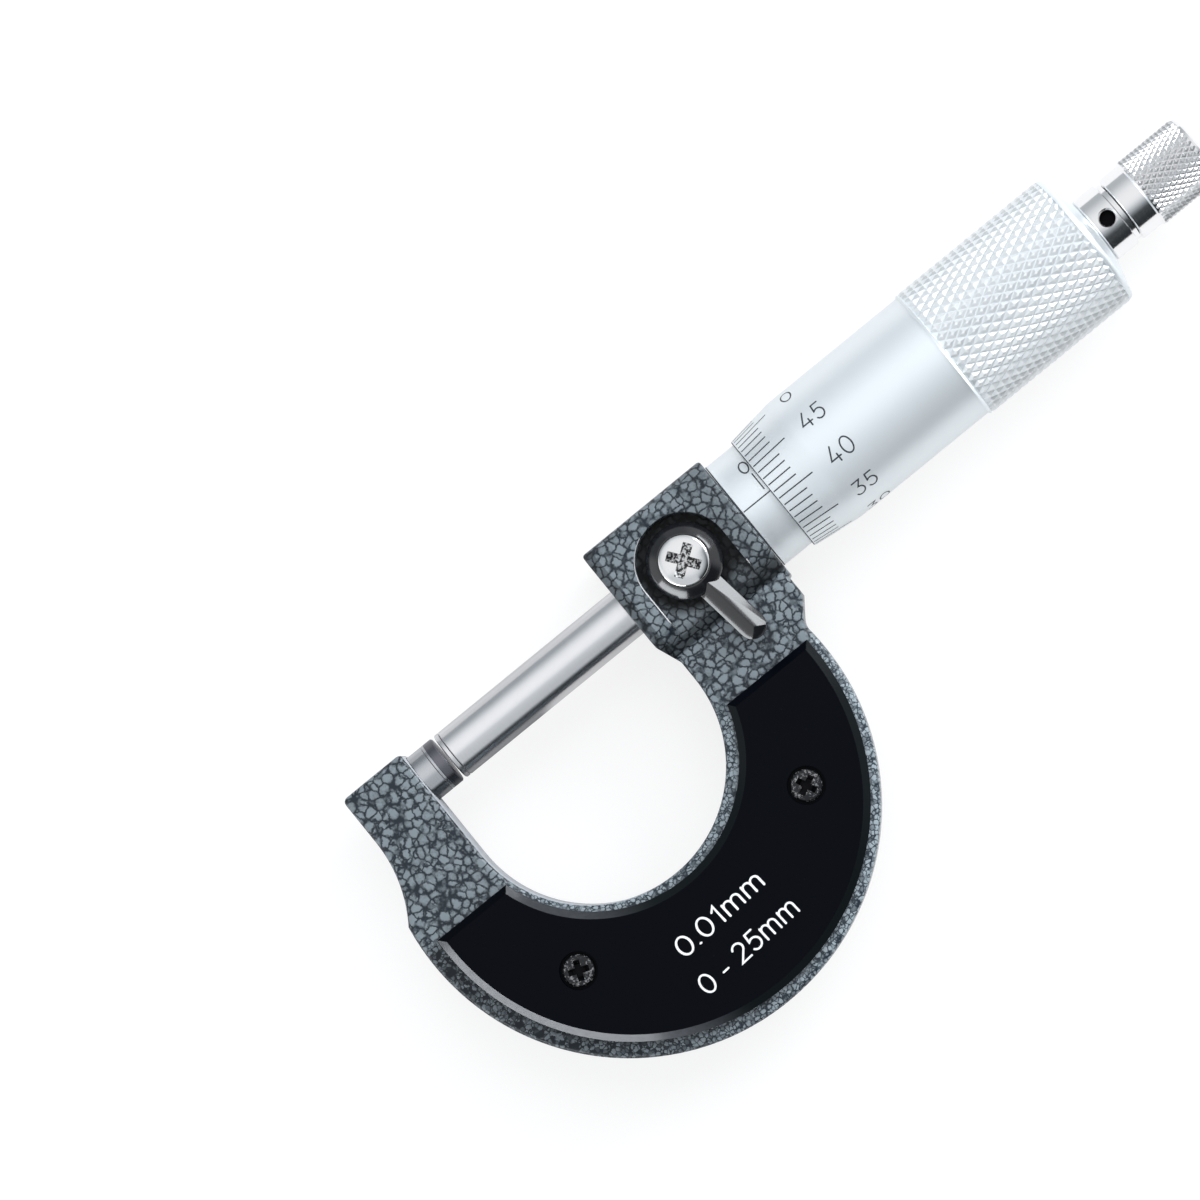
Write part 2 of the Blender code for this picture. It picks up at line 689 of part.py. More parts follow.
def make_thimble(axis):
    edge_r = thimble_bore_r + THIMBLE_LIP
    band = knurl_x - thimble_x
    before = [(edge_r, 0), (thimble_r, THIMBLE_BEVEL), (thimble_r, band - KNURL_RISE)]
    after = [(ratchet_r + THIMBLE_MOUTH / 2, thimble_end - thimble_x)]
    mesh = knurled_solid(before, band, KNURL_LENGTH, thimble_r, KNURL_HEIGHT, KNURL_DIAMONDS,
                         KNURL_ROWS, after)
    thimble = add_part("thimble", mesh, CHROME, axis, (thimble_x, 0, 0), ALONG_X)
    cone_r, shank_r = taper_r + SEAT_GAP, SHANK_D / 2 + SEAT_GAP
    shoulder, floor = taper_x - thimble_x, taper_end + SEAT_GAP - thimble_x
    top = thimble_end - thimble_x + CUT_MARGIN
    bore = [
        (0, top), (shank_r, top), (shank_r, floor), (cone_r - TAPER_FALL, floor),
        (cone_r, shoulder), (thimble_bore_r, shoulder), (thimble_bore_r, -CUT_MARGIN),
        (0, -CUT_MARGIN),
    ]
    cutter = add_cutter("thimble_bore", turned(bore, BIG_STEPS), axis, (thimble_x, 0, 0), ALONG_X)
    combine(thimble, cutter)


def make_ratchet_body(axis):
    groove_r = ratchet_r - GROOVE_DEPTH
    tap_r = RATCHET_SCREW_D / 2 + SEAT_GAP
    tap_x = journal_end - RATCHET_SCREW_LENGTH - SEAT_GAP
    shank_r, shank_x = SHANK_D / 2, cap_x - SHANK_LENGTH
    section = [
        (0, tap_x), (tap_r, tap_x), (tap_r, journal_end), (journal_r, journal_end),
        (journal_r, journal_x), (groove_r, journal_x), (groove_r, groove_x), (ratchet_r, groove_x),
        (ratchet_r, cap_x), (shank_r, cap_x), (shank_r, shank_x), (0, shank_x),
    ]
    profile = [(r, x - cap_x) for r, x in section]
    body = add_part("ratchet_body", turned(profile, MID_STEPS), CHROME, axis, (cap_x, 0, 0), ALONG_X)
    hole = rod(SPANNER_HOLE_D / 2, ratchet_r - SPANNER_HOLE_DEPTH, ratchet_r + CUT_MARGIN, SMALL_STEPS)
    place = (cap_x + SPANNER_HOLE_X, 0, 0)
    combine(body, add_cutter("spanner_hole", hole, axis, place))
    for side in (-1, 1):
        flat = block(2 * JOURNAL_D, JOURNAL_D, 0, bearing_x - spring_x)
        place = (spring_x, side * (JOURNAL_FLAT + JOURNAL_D) / 2, 0)
        combine(body, add_cutter(f"journal_flat_{side}", flat, axis, place, ALONG_X))


def make_ratchet_spring(axis):
    curve = bpy.data.curves.new("ratchet_spring", 'CURVE')
    curve.dimensions = '3D'
    curve.bevel_depth = SPRING_WIRE / 2
    curve.bevel_resolution = 1
    curve.use_fill_caps = True
    spline = curve.splines.new('POLY')
    count = int(SPRING_TURNS * SPRING_STEPS)
    spline.points.add(count)
    rise = SPRING_LENGTH - SPRING_WIRE
    for i, point in enumerate(spline.points):
        angle = 2 * math.pi * SPRING_TURNS * i / count
        x, y = math.cos(angle) * SPRING_D / 2, math.sin(angle) * SPRING_D / 2
        point.co = (x, y, SPRING_WIRE / 2 + rise * i / count, 1)
    item = bpy.data.objects.new("spring", curve)
    bpy.context.scene.collection.objects.link(item)
    mesh = evaluated_mesh(item)
    bpy.data.objects.remove(item)
    bpy.data.curves.remove(curve)
    weld(mesh)
    mesh.shade_smooth()
    add_part("ratchet_spring", mesh, SPRING, axis, (spring_x, 0, 0), ALONG_X)


def make_ratchet_clutch(axis):
    """Toothed ring, turned by the journal's two flats and pushed by the spring."""
    length = CLUTCH_LENGTH + TOOTH_HEIGHT
    flat_r = JOURNAL_FLAT / 2 + SEAT_GAP
    profile = [(clutch_r, length), (clutch_r, 0), (flat_r, 0), (flat_r, length)]
    clutch = add_part("ratchet_clutch", turned(profile, MID_STEPS), STEEL, axis,
                      (clutch_x, 0, 0), ALONG_X)
    place = (clutch_x - CUT_MARGIN, 0, 0)
    reach = length + 2 * CUT_MARGIN
    bore = add_cutter("clutch_bore", rod(clutch_bore_r, 0, reach, MID_STEPS), axis, place, ALONG_X)
    flats = add_cutter("clutch_flats", block(2 * clutch_r, 2 * flat_r, 0, reach), axis, place, ALONG_X)
    combine(bore, flats, 'INTERSECT')
    combine(clutch, bore)
    wedges = saw_teeth(journal_r / 2, clutch_r + CUT_MARGIN, TOOTH_HEIGHT, TOOTH_COUNT, 1)
    combine(clutch, add_cutter("clutch_teeth", wedges, axis, (teeth_x, 0, 0), ALONG_X))


def make_ratchet_knob(axis):
    """Knurled cup that turns on the journal, with its own teeth inside."""
    after = [(ratchet_r - KNOB_CHAMFER, knob_end - knob_x)]
    mesh = knurled_solid([(ratchet_r, 0)], KNOB_COLLAR, KNOB_KNURL_LENGTH - KNOB_CHAMFER, ratchet_r,
                         KNOB_KNURL_HEIGHT, KNOB_DIAMONDS, KNOB_ROWS, after)
    knob = add_part("ratchet_knob", mesh, CHROME, axis, (knob_x, 0, 0), ALONG_X)
    bearing_r = journal_r + RUN_GAP
    head_r = RATCHET_SCREW_HEAD_D / 2 + RUN_GAP
    teeth, shoulder = knob_teeth_x - knob_x, journal_end - RUN_GAP - knob_x
    top = knob_end - knob_x + CUT_MARGIN
    bore = [
        (0, top), (head_r, top), (head_r, shoulder), (bearing_r, shoulder), (bearing_r, teeth),
        (knob_bore_r, teeth), (knob_bore_r, -CUT_MARGIN), (0, -CUT_MARGIN),
    ]
    combine(knob, add_cutter("knob_bore", turned(bore, MID_STEPS), axis, (knob_x, 0, 0), ALONG_X))
    wedges = saw_teeth(journal_r / 2, knob_bore_r - SEAT_GAP, TOOTH_HEIGHT, TOOTH_COUNT, -1)
    combine(knob, add_cutter("knob_teeth", wedges, axis, (knob_teeth_x, 0, 0), ALONG_X))


def make_ratchet_screw(axis):
    head_r, shank_r = RATCHET_SCREW_HEAD_D / 2, RATCHET_SCREW_D / 2
    top = RATCHET_SCREW_HEAD_H
    profile = [(0, top), (head_r - FACE_CHAMFER, top), (head_r, top - FACE_CHAMFER), (head_r, 0),
               (shank_r, 0), (shank_r, -RATCHET_SCREW_LENGTH), (0, -RATCHET_SCREW_LENGTH)]
    place = (journal_end + SEAT_GAP, 0, 0)
    screw = add_part("ratchet_screw", turned(profile, SMALL_STEPS), MIRROR, axis, place, ALONG_X)
    slot = block(SCREW_SLOT_WIDTH, RATCHET_D, top - SCREW_SLOT_DEPTH, top + CUT_MARGIN)
    combine(screw, add_cutter("ratchet_screw_slot", slot, axis, place, ALONG_X))


def make_lock(lock):
    """The lock's pad, stud, lever and screw, stacked along the lock's axis."""
    stud_r, screw_r = LOCK_STUD_D / 2, LOCK_SCREW_D / 2
    saddle_r = spindle_r + PAD_GAP
    pad_low = math.sqrt(saddle_r ** 2 - stud_r ** 2) + FACE_CHAMFER
    pad_top = saddle_r + PAD_THICKNESS
    pad = add_part("lock_pad", rod(stud_r, pad_low, pad_top, SMALL_STEPS), BRASS, lock)
    saddle = rod(saddle_r, -SPINDLE_D, SPINDLE_D, BIG_STEPS)
    # the saddle follows the spindle, so it is turned back by the lever's tilt
    saddle.transform(Matrix.Rotation(math.pi / 2, 4, 'Y'))
    saddle.transform(Matrix.Rotation(-math.radians(LOCK_REST_TILT), 4, 'Z'))
    combine(pad, add_cutter("pad_saddle", saddle, lock))

    lever_z = pocket_z + SEAT_GAP
    head_z = lever_z + LOCK_KNOB_HEIGHT - LOCK_SCREW_SINK + SEAT_GAP
    stud_low, stud_top = pad_top + SEAT_GAP, lever_z + LOCK_KNOB_EDGE
    tap_r, tap_z = screw_r + SEAT_GAP, head_z - LOCK_SCREW_LENGTH - SEAT_GAP
    profile = [(0, tap_z), (tap_r, tap_z), (tap_r, stud_top), (stud_r, stud_top),
               (stud_r, stud_low), (0, stud_low)]
    add_part("lock_stud", turned(profile, SMALL_STEPS), STEEL, lock)

    add_lock_lever(lock, lever_z)
    add_lock_screw(lock, head_z)


def add_lock_lever(lock, lever_z):
    edge_r, head_r = LOCK_KNOB_D / 2, LOCK_SCREW_HEAD_D / 2 + SEAT_GAP
    top, floor = LOCK_KNOB_HEIGHT, LOCK_KNOB_HEIGHT - LOCK_SCREW_SINK
    stud_hole, socket = LOCK_STUD_D / 2 + SEAT_GAP, LOCK_KNOB_EDGE + SEAT_GAP
    screw_hole = LOCK_SCREW_D / 2 + SEAT_GAP
    profile = [
        (head_r + FACE_CHAMFER, top), (edge_r, LOCK_KNOB_EDGE), (edge_r, 0), (stud_hole, 0),
        (stud_hole, socket), (screw_hole, socket), (screw_hole, floor), (head_r, floor), (head_r, top),
    ]
    lever = add_part("lock_lever", turned(profile, BIG_STEPS), BLACK_METAL, lock, (0, 0, lever_z))

    # the arm's roof-shaped section, rounded in plan at its end and sloped down at its tip
    half = LOCK_ARM_WIDTH / 2
    root_y = (stud_hole + edge_r) / 2
    section = [(half, 0), (half, LOCK_ARM_SIDE), (0, LOCK_ARM_RIDGE), (-half, LOCK_ARM_SIDE), (-half, 0)]
    arm = add_cutter("lock_arm", prism(section, root_y, LOCK_ARM_REACH + CUT_MARGIN), lock,
                     (0, 0, lever_z + SEAT_GAP), (math.pi / 2, 0, 0))
    plan = arc(0, half - LOCK_ARM_REACH, half, 180, 360) + [(half, 0), (-half, 0)]
    rounded = prism(plan, -CUT_MARGIN, LOCK_KNOB_HEIGHT + CUT_MARGIN)
    combine(arm, add_cutter("lock_arm_end", rounded, lock, (0, 0, lever_z)), 'INTERSECT')
    low, reach = -CUT_MARGIN, LOCK_ARM_REACH + CUT_MARGIN / 2
    side = [(0, low), (reach, low), (reach, LOCK_ARM_SIDE / 2),
            (LOCK_ARM_REACH - LOCK_ARM_TIP, LOCK_KNOB_HEIGHT), (0, LOCK_KNOB_HEIGHT)]
    facet = prism(side, -LOCK_ARM_WIDTH, LOCK_ARM_WIDTH)
    turn = (math.pi / 2, 0, -math.pi / 2)
    combine(arm, add_cutter("lock_arm_facet", facet, lock, (0, 0, lever_z), turn), 'INTERSECT')
    combine(lever, arm, 'UNION')


def add_lock_screw(lock, head_z):
    head_r, shank_r = LOCK_SCREW_HEAD_D / 2, LOCK_SCREW_D / 2
    rim = LOCK_SCREW_HEAD_H - LOCK_SCREW_DOME
    angles = [math.pi / 2 * i / DOME_STEPS for i in range(DOME_STEPS + 1)]
    dome = [(head_r * math.sin(a), rim + LOCK_SCREW_DOME * math.cos(a)) for a in angles]
    profile = dome + [(head_r, 0), (shank_r, 0), (shank_r, -LOCK_SCREW_LENGTH),
                      (0, -LOCK_SCREW_LENGTH)]
    screw = add_part("lock_screw", turned(profile, MID_STEPS), MIRROR, lock, (0, 0, head_z))
    cut_cross(screw, LOCK_SCREW_HEAD_D * CROSS_SHARE, LOCK_SCREW_HEAD_H, lock, (0, 0, head_z))


def screw_places():
    """Name and place of each plate screw."""
    reach, angle = plate_r - PLATE_SCREW_INSET, math.radians(PLATE_SCREW_ANGLE)
    across, y = reach * math.cos(angle), bow_y - reach * math.sin(angle)
    middle = bow_x + PLATE_SHIFT
    return (("left", middle - across, y), ("right", middle + across, y))


def plate_outline():
    outer, inner = plate_r, THROAT_R + PLATE_INNER_MARGIN
    outer_x, inner_x = bow_x + PLATE_SHIFT, throat_x + PLATE_SHIFT
    low = math.degrees(math.asin((-PLATE_TOP_DROP - bow_y) / outer))
    high = math.degrees(math.asin((-PLATE_TOP_DROP + THROAT_DEPTH) / inner))
    return (arc(outer_x, bow_y, outer, 180 - low, 360 + low)
            + arc(inner_x, -THROAT_DEPTH, inner, 360 + high, 180 - high))


def make_plate(root, name, side):
    """A black grip plate, which covers the bow's web on the front (side 1) or the rear (side -1)."""
    seat = web_half + SEAT_GAP
    face = seat + PLATE_THICKNESS
    mesh = prism(plate_outline(), *sorted((side * seat, side * face)))
    bevel_rim(mesh, side * face, PLATE_BEVEL, 2)
    plate = add_part(name, mesh, BLACK, root)
    for end, x, y in screw_places():
        holes = (("hole", PLATE_SCREW_D / 2 + SEAT_GAP, 0),
                 ("counterbore", PLATE_SCREW_COUNTERBORE / 2, face - PLATE_SCREW_SINK))
        for hole, radius, start in holes:
            low, high = sorted((side * start, side * (face + CUT_MARGIN)))
            drill = rod(radius, low, high, SMALL_STEPS)
            combine(plate, add_cutter(f"{name}_{hole}_{end}", drill, root, (x, y, 0)))


def cut_cross(screw, length, top, parent, place=(0, 0, 0)):
    """Cuts a cross recess into a screw's head, down from the height top."""
    for index, sizes in enumerate(((length, CROSS_WIDTH), (CROSS_WIDTH, length))):
        bar = block(*sizes, top - CROSS_DEPTH, top + CUT_MARGIN)
        combine(screw, add_cutter(f"{screw.name}_cross_{index}", bar, parent, place))


def plate_screw_mesh(root):
    head_r, shank_r = PLATE_SCREW_HEAD_D / 2, PLATE_SCREW_D / 2
    top = PLATE_SCREW_HEAD_H
    profile = [(0, top), (head_r - PLATE_SCREW_EDGE, top), (head_r, top - PLATE_SCREW_EDGE),
               (head_r, 0), (shank_r, 0), (shank_r, -PLATE_SCREW_LENGTH), (0, -PLATE_SCREW_LENGTH)]
    blank = add_cutter("plate_screw_blank", turned(profile, SMALL_STEPS), root)
    cut_cross(blank, PLATE_SCREW_HEAD_D * CROSS_SHARE, top, root)
    bpy.context.view_layer.update()
    mesh = evaluated_mesh(blank)
    mesh.shade_smooth()
    mesh.set_sharp_from_angle(angle=math.radians(30))
    return mesh


def make_plates(root):
    mesh = plate_screw_mesh(root)
    floor = web_half + SEAT_GAP + PLATE_THICKNESS - PLATE_SCREW_SINK
    for name, side, turn in (("front", 1, (0, 0, 0)), ("rear", -1, FACE_DOWN)):
        make_plate(root, f"{name}_plate", side)
        for end, x, y in screw_places():
            add_part(f"{name}_screw_{end}", mesh.copy(), BLACK_METAL, root,
                     (x, y, side * (floor + SEAT_GAP)), turn)


def main():
    root = add_empty("measuring_axis", None, axis_place)
    make_frame(root)
    make_anvil(root)
    make_screw_sleeve(root)
    make_graduated_sleeve(root)
    make_adjusting_nut(root)
    make_plates(root)

    add_part("spindle_tip", tip_mesh(SPINDLE_TIP_LENGTH, 0), CARBIDE, root, (READING, 0, 0), ALONG_X)
    spindle_axis = add_empty("spindle_axis", root)
    make_spindle(spindle_axis)
    make_thimble(spindle_axis)
    make_ratchet_body(spindle_axis)
    make_ratchet_spring(spindle_axis)
    make_ratchet_clutch(spindle_axis)
    make_ratchet_screw(spindle_axis)
    make_ratchet_knob(spindle_axis)

    lock_axis = add_empty("lock_axis", root, (lock_x, 0, 0), (0, 0, math.radians(LOCK_REST_TILT)))
    make_lock(lock_axis)


main()
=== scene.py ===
"""Outside micrometer, 0 to 25 mm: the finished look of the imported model.

Every piece is made in the instrument's own frame: x runs along the measuring axis from the
anvil's face, y points away from the bow and z out of the front. All sizes are in metres.
"""

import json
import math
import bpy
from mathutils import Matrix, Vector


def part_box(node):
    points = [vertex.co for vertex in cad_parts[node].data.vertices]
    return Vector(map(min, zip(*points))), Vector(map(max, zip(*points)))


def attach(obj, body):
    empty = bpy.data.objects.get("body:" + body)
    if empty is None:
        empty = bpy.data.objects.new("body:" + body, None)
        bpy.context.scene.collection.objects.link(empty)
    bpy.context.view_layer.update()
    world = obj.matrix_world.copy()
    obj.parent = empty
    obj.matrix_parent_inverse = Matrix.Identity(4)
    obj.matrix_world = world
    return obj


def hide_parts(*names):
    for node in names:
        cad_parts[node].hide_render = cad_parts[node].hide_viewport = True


bl_info = {
    "name": "Outside Micrometer",
    "version": (1, 0, 0),
    "blender": (4, 5, 0),
    "location": "3D View > Sidebar > Micrometer",
    "description": "Builds an outside micrometer with its finishes, graduations and studio",
    "category": "Add Mesh",
}

from contextlib import contextmanager
from functools import reduce

import bmesh
import bpy
from bpy.props import FloatProperty, FloatVectorProperty, IntProperty, PointerProperty
from bpy.types import Operator, Panel, PropertyGroup
from mathutils import Euler, Matrix, Vector

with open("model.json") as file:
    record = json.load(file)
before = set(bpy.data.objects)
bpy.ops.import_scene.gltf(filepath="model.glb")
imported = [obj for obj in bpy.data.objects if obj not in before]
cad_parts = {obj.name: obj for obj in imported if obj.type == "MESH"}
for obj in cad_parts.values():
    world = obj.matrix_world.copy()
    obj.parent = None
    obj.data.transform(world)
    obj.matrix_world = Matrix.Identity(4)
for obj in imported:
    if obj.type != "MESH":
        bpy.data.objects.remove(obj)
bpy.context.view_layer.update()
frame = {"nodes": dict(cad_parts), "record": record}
JOINTS = {joint["name"]: joint for joint in frame["record"]["behaviour"]["joints"]}
AXIS = Vector(JOINTS["thimble_turn"]["pos_m"])
LOCK = Vector(JOINTS["lock_turn"]["pos_m"]) - AXIS

MILLIMETRE = 0.001      # the step of the sleeve's scale
GAP = 0.0001            # play between two pieces
PAST = 0.001            # a cutting shape reaches this far past what it cuts
MERGE = 0.000001        # points closer than this become one
BEND_STEP = 0.0003      # flat marks are cut this often, so they can bend
STROKE_LIFT = 0.000003  # each stroke of a figure lies this far above the one before
KNURL_SINK = 0.00002    # a diamond's base lies this far below its ground
KNURL_RISE = 0.00003    # the ground of a knurl's diamonds stands this far above its body
PICTURE_WIDTH = 1200    # parts of the picture's width, for the camera's scale

FINISH = {}


def span(node):
    """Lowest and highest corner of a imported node, in the instrument's frame."""
    low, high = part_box(node)
    return Vector(low) - AXIS, Vector(high) - AXIS


def length(name, text, value):
    return FloatProperty(name=name, description=text, default=value, unit='LENGTH', precision=6)


def number(name, text, value):
    return FloatProperty(name=name, description=text, default=value)


def degrees(name, text, value):
    return FloatProperty(
        name=name, description=text, default=math.radians(value), subtype='ANGLE', precision=2)


def count(name, text, value):
    return IntProperty(name=name, description=text, default=value, min=1)


def share(name, text, value):
    return FloatProperty(name=name, description=text, default=value, subtype='FACTOR', min=0, max=1)


def colour(name, text, value):
    return FloatVectorProperty(
        name=name, description=text, default=value, subtype='COLOR', min=0, max=1)


# ---------------------------------------------------------------- sizes and colours

class FrameSizes(PropertyGroup):
    reach: length("Anvil reach", "From the frame to the anvil's measuring face", 0.00385)
    end_width: length("Anvil end width", "Width of the frame round the anvil", 0.0092)
    end_top: length("Anvil end top", "Top of the anvil end above the axis", 0.00395)
    end_drop: length("Anvil end drop", "Straight part of the anvil end below the axis", 0.0026)
    waist_r: length("Waist radius", "Hollow between the anvil end and the bow", 0.0182)
    throat_r: length("Throat radius", "Radius of the throat", 0.0169)
    throat_depth: length("Throat depth", "From the axis down to the throat's centre", 0.0118)
    bow_shift: length("Bow shift", "From the throat's centre to the bow's, along the axis", 0.00085)
    bow_drop: length("Bow drop", "From the throat's centre down to the bow's", 0.00685)
    bow_r: length("Bow radius", "Outer radius of the bow", 0.03085)
    web: length("Half web", "Half the thickness of the frame's web", 0.0042)
    shoulder_drop: length("Shoulder drop", "Where the right side leaves the boss", 0.0120)
    shoulder_meet: length("Shoulder meet", "Where the right side runs into the bow", 0.0150)
    edge: length("Edge radius", "Rounding of the web's edges", 0.0007)
    overhang: length("Boss overhang", "The boss reaches this far into the throat", 0.0012)
    boss_length: length("Boss length", "Length of the boss along the axis", 0.0184)
    boss_top: length("Boss top", "Top of the boss above the axis", 0.0084)
    boss_half: length("Half boss", "Half the thickness of the boss", 0.0080)
    boss_chamfer: length("Boss chamfer", "Chamfer along the boss's top", 0.0012)
    boss_edge: length("Boss edge radius", "Rounding of the boss's edges", 0.0004)
    face_drop: length("Boss face drop", "Where the boss's flat front ends, below the axis", 0.0050)
    slope_drop: length("Boss slope drop", "Where the boss's slope meets the web", 0.0085)
    slope_root: length("Boss slope root", "The slope runs this far into the web", 0.0008)
    end_step: length("Machined step", "The boss's end face stands proud of the web's edge", 0.0004)
    pocket_z: length("Pocket floor", "Height of the lock pocket's floor", 0.0060)
    pocket_width: length("Pocket width", "Width of the lock's pocket", 0.0119)
    corner_cut: length("Corner cut", "Length cut off the boss's lower corner", 0.0029)
    corner_slant: length("Corner slant", "Width cut off the boss's lower corner", 0.0011)
    # the bevel round the pocket: bare metal for wear, and partly a painted highlight
    worn_edge: length("Worn edge", "Width of the bright line round the pocket", 0.00016)
    spindle_hole: length("Spindle hole", "Radius of the spindle's hole", 0.0034)
    sleeve_hole: length("Sleeve hole", "Radius of the inner sleeve's seat", 0.0053)
    stud_hole: length("Stud hole", "Radius of the lock stud's hole", 0.0026)


class PlateSizes(PropertyGroup):
    thickness: length("Plate thickness", "Thickness of a grip plate", 0.0015)
    bevel: length("Plate bevel", "Bevel round a grip plate's face", 0.0009)
    edge: length("Plate edge radius", "Rounding of the bevel's edges", 0.00009)
    margin: length("Outer margin", "From the bow's edge to the plate", 0.0017)
    inner_margin: length("Inner margin", "From the throat to the plate", 0.0012)
    shift: length("Plate shift", "The plate sits this far towards the ratchet", 0.0006)
    top_drop: length("Plate top", "Upper edge of the plate below the axis", 0.01675)
    screw_d: length("Screw head", "Diameter of a plate screw's head", 0.0040)
    screw_head: length("Screw head height", "Height of a plate screw's head", 0.0009)
    screw_sink: length("Counterbore depth", "Depth of a screw's counterbore", 0.0010)
    counterbore: length("Counterbore", "Diameter of a screw's counterbore", 0.0048)
    text_height: length("Text height", "Height of the figures on the plate", 0.00262)
    text_width: length("First text width", "Length of the upper marking", 0.0134)
    range_width: length("Second text width", "Length of the lower marking", 0.0153)
    text_line: length("Text line", "Width of the markings' strokes", 0.00025)
    text_tilt: degrees("Text tilt", "The markings rise towards the ratchet", 4.0)


class ScaleSizes(PropertyGroup):
    """Sleeve and thimble with their graduations."""
    zero: length("Zero line", "From the boss to the sleeve's zero line", 0.00405)
    sleeve_r: length("Sleeve radius", "Outer radius of the graduated sleeve", 0.0077)
    line: length("Line width", "Width of a graduation line", 0.00016)
    ink: length("Line height", "A mark stands this far above its ground", 0.000012)
    reading: number("Reading", "Thimble line at the datum line", 41.4)
    lines: count("Thimble lines", "Number of lines round the thimble", 50)
    short_line: length("Short line", "Length of a thimble line", 0.0037)
    long_line: length("Long line", "Length of every fifth thimble line", 0.0054)
    figure_start: length("Figure start", "From the thimble's edge to its figures", 0.0080)
    figure_height: length("Figure height", "Height of the thimble's figures", 0.00225)
    figure_line: length("Figure line", "Width of a figure's strokes", 0.0002)
    figure_shift: length("Figure shift", "A sleeve figure stands this far before its line", 0.00033)
    sleeve_figure: length("Sleeve figure", "Height of the sleeve's figures", 0.0018)
    tick: length("Upper tick", "Length of a whole millimetre line", 0.0026)
    half_tick: length("Lower tick", "Length of a half millimetre line", 0.0022)
    tick_gap: length("Tick gap", "From the datum line to an upper tick", 0.0006)
    plain_r: length("Thimble radius", "Radius of the thimble's plain part", 0.0090)
    lip: length("Thimble lip", "Thickness of the thimble's front edge", 0.0003)
    # painted shadow: a dark line at the thimble's lip stands for the shadow in the gap over the
    # sleeve
    dark_edge: length("Dark edge", "Width of the dark line round the thimble's front", 0.00011)
    bevel: length("Thimble bevel", "Length of the graduated bevel", 0.0065)
    plain: length("Plain length", "Length of the thimble's plain part", 0.01995)
    rise: length("Knurl shoulder", "Length of the shoulder before the knurl", 0.0007)
    knurl: length("Knurl length", "Length of the thimble's knurl", 0.0226)
    knurl_height: length("Knurl height", "Height of a diamond", 0.00027)
    knurl_columns: count("Knurl columns", "Diamonds round the thimble", 44)
    knurl_rows: count("Knurl rows", "Staggered rows along the thimble", 19)
    knurl_top: share("Knurl top", "Flat top of a diamond, as a share of its base", 0.26)
    bore_r: length("Thimble bore", "Radius of the thimble's bore", 0.00785)


class RatchetSizes(PropertyGroup):
    radius: length("Ratchet radius", "Radius of the ratchet's body and knob", 0.00455)
    cap: length("Cap length", "Length of the ratchet's body outside the thimble", 0.0034)
    groove: length("Groove width", "Groove between the cap and the knob", 0.0006)
    groove_depth: length("Groove depth", "Depth of that groove", 0.0004)
    hole_d: length("Spanner hole", "Diameter of the hook spanner's hole", 0.0020)
    hole_depth: length("Spanner hole depth", "Depth of that hole", 0.0016)
    hole_x: length("Spanner hole place", "From the cap's start to the hole", 0.0020)
    collar: length("Collar", "Plain part of the knob", 0.0032)
    knurl_height: length("Knurl height", "Height of a diamond on the knob", 0.00021)
    knurl_columns: count("Knurl columns", "Diamonds round the knob", 38)
    knurl_rows: count("Knurl rows", "Staggered rows along the knob", 13)
    knurl_top: share("Knurl top", "Flat top of a diamond, as a share of its base", 0.2)


class LockSizes(PropertyGroup):
    knob_d: length("Knob", "Diameter of the lever's knob", 0.0095)
    knob_edge: length("Knob edge", "Height of the knob's edge", 0.0014)
    knob_height: length("Knob height", "Height of the knob", 0.0025)
    arm_width: length("Arm width", "Width of the lever's arm", 0.0035)
    arm_reach: length("Arm reach", "From the lock's axis to the arm's end", 0.0131)
    arm_side: length("Arm side", "Height of the arm's sides", 0.0010)
    arm_ridge: length("Arm ridge", "Height of the arm's ridge", 0.0021)
    arm_tip: length("Arm tip", "Length of the facet at the arm's end", 0.0019)
    tilt: degrees("Lever tilt", "Turn of the lever towards the ratchet", 7.6)
    head_d: length("Screw head", "Diameter of the lock screw's head", 0.0063)
    head_height: length("Screw head height", "Height of the lock screw's head", 0.0011)
    dome: length("Screw dome", "Height of the head's dome", 0.0006)
    screw_sink: length("Screw sink", "The head sits this far in the knob", 0.0005)


class Finishes(PropertyGroup):
    paint_light: colour("Paint blobs", "Hammer paint, the raised blobs", (0.205, 0.240, 0.262))
    paint_dark: colour("Paint veins", "Hammer paint between the blobs", (0.010, 0.016, 0.023))
    blob: length("Blob size", "Size of the hammer paint's blobs", 0.00112)
    satin: colour("Satin chrome", "Sleeve and thimble", (0.80, 0.845, 0.87))
    knurl: colour("Knurled chrome", "Chrome of the thimble's knurl", (0.84, 0.865, 0.88))
    bright: colour("Bright chrome", "Ratchet body and lock screw", (0.86, 0.86, 0.87))
    steel: colour("Ground steel", "Spindle", (0.90, 0.90, 0.92))
    anvil: colour("Anvil steel", "Anvil and inner pieces", (0.60, 0.615, 0.645))
    carbide: colour("Carbide", "Measuring faces", (0.19, 0.19, 0.215))
    plate: colour("Black moulding", "Grip plates", (0.0012, 0.0018, 0.0036))
    black: colour("Black paint", "Lock lever and plate screws", (0.007, 0.0075, 0.0095))
    ink: colour("Ink", "Graduation lines and figures", (0.020, 0.026, 0.034))
    white: colour("White ink", "Markings on the plate", (0.82, 0.83, 0.84))
    brass: colour("Brass", "Lock pad", (0.60, 0.40, 0.14))


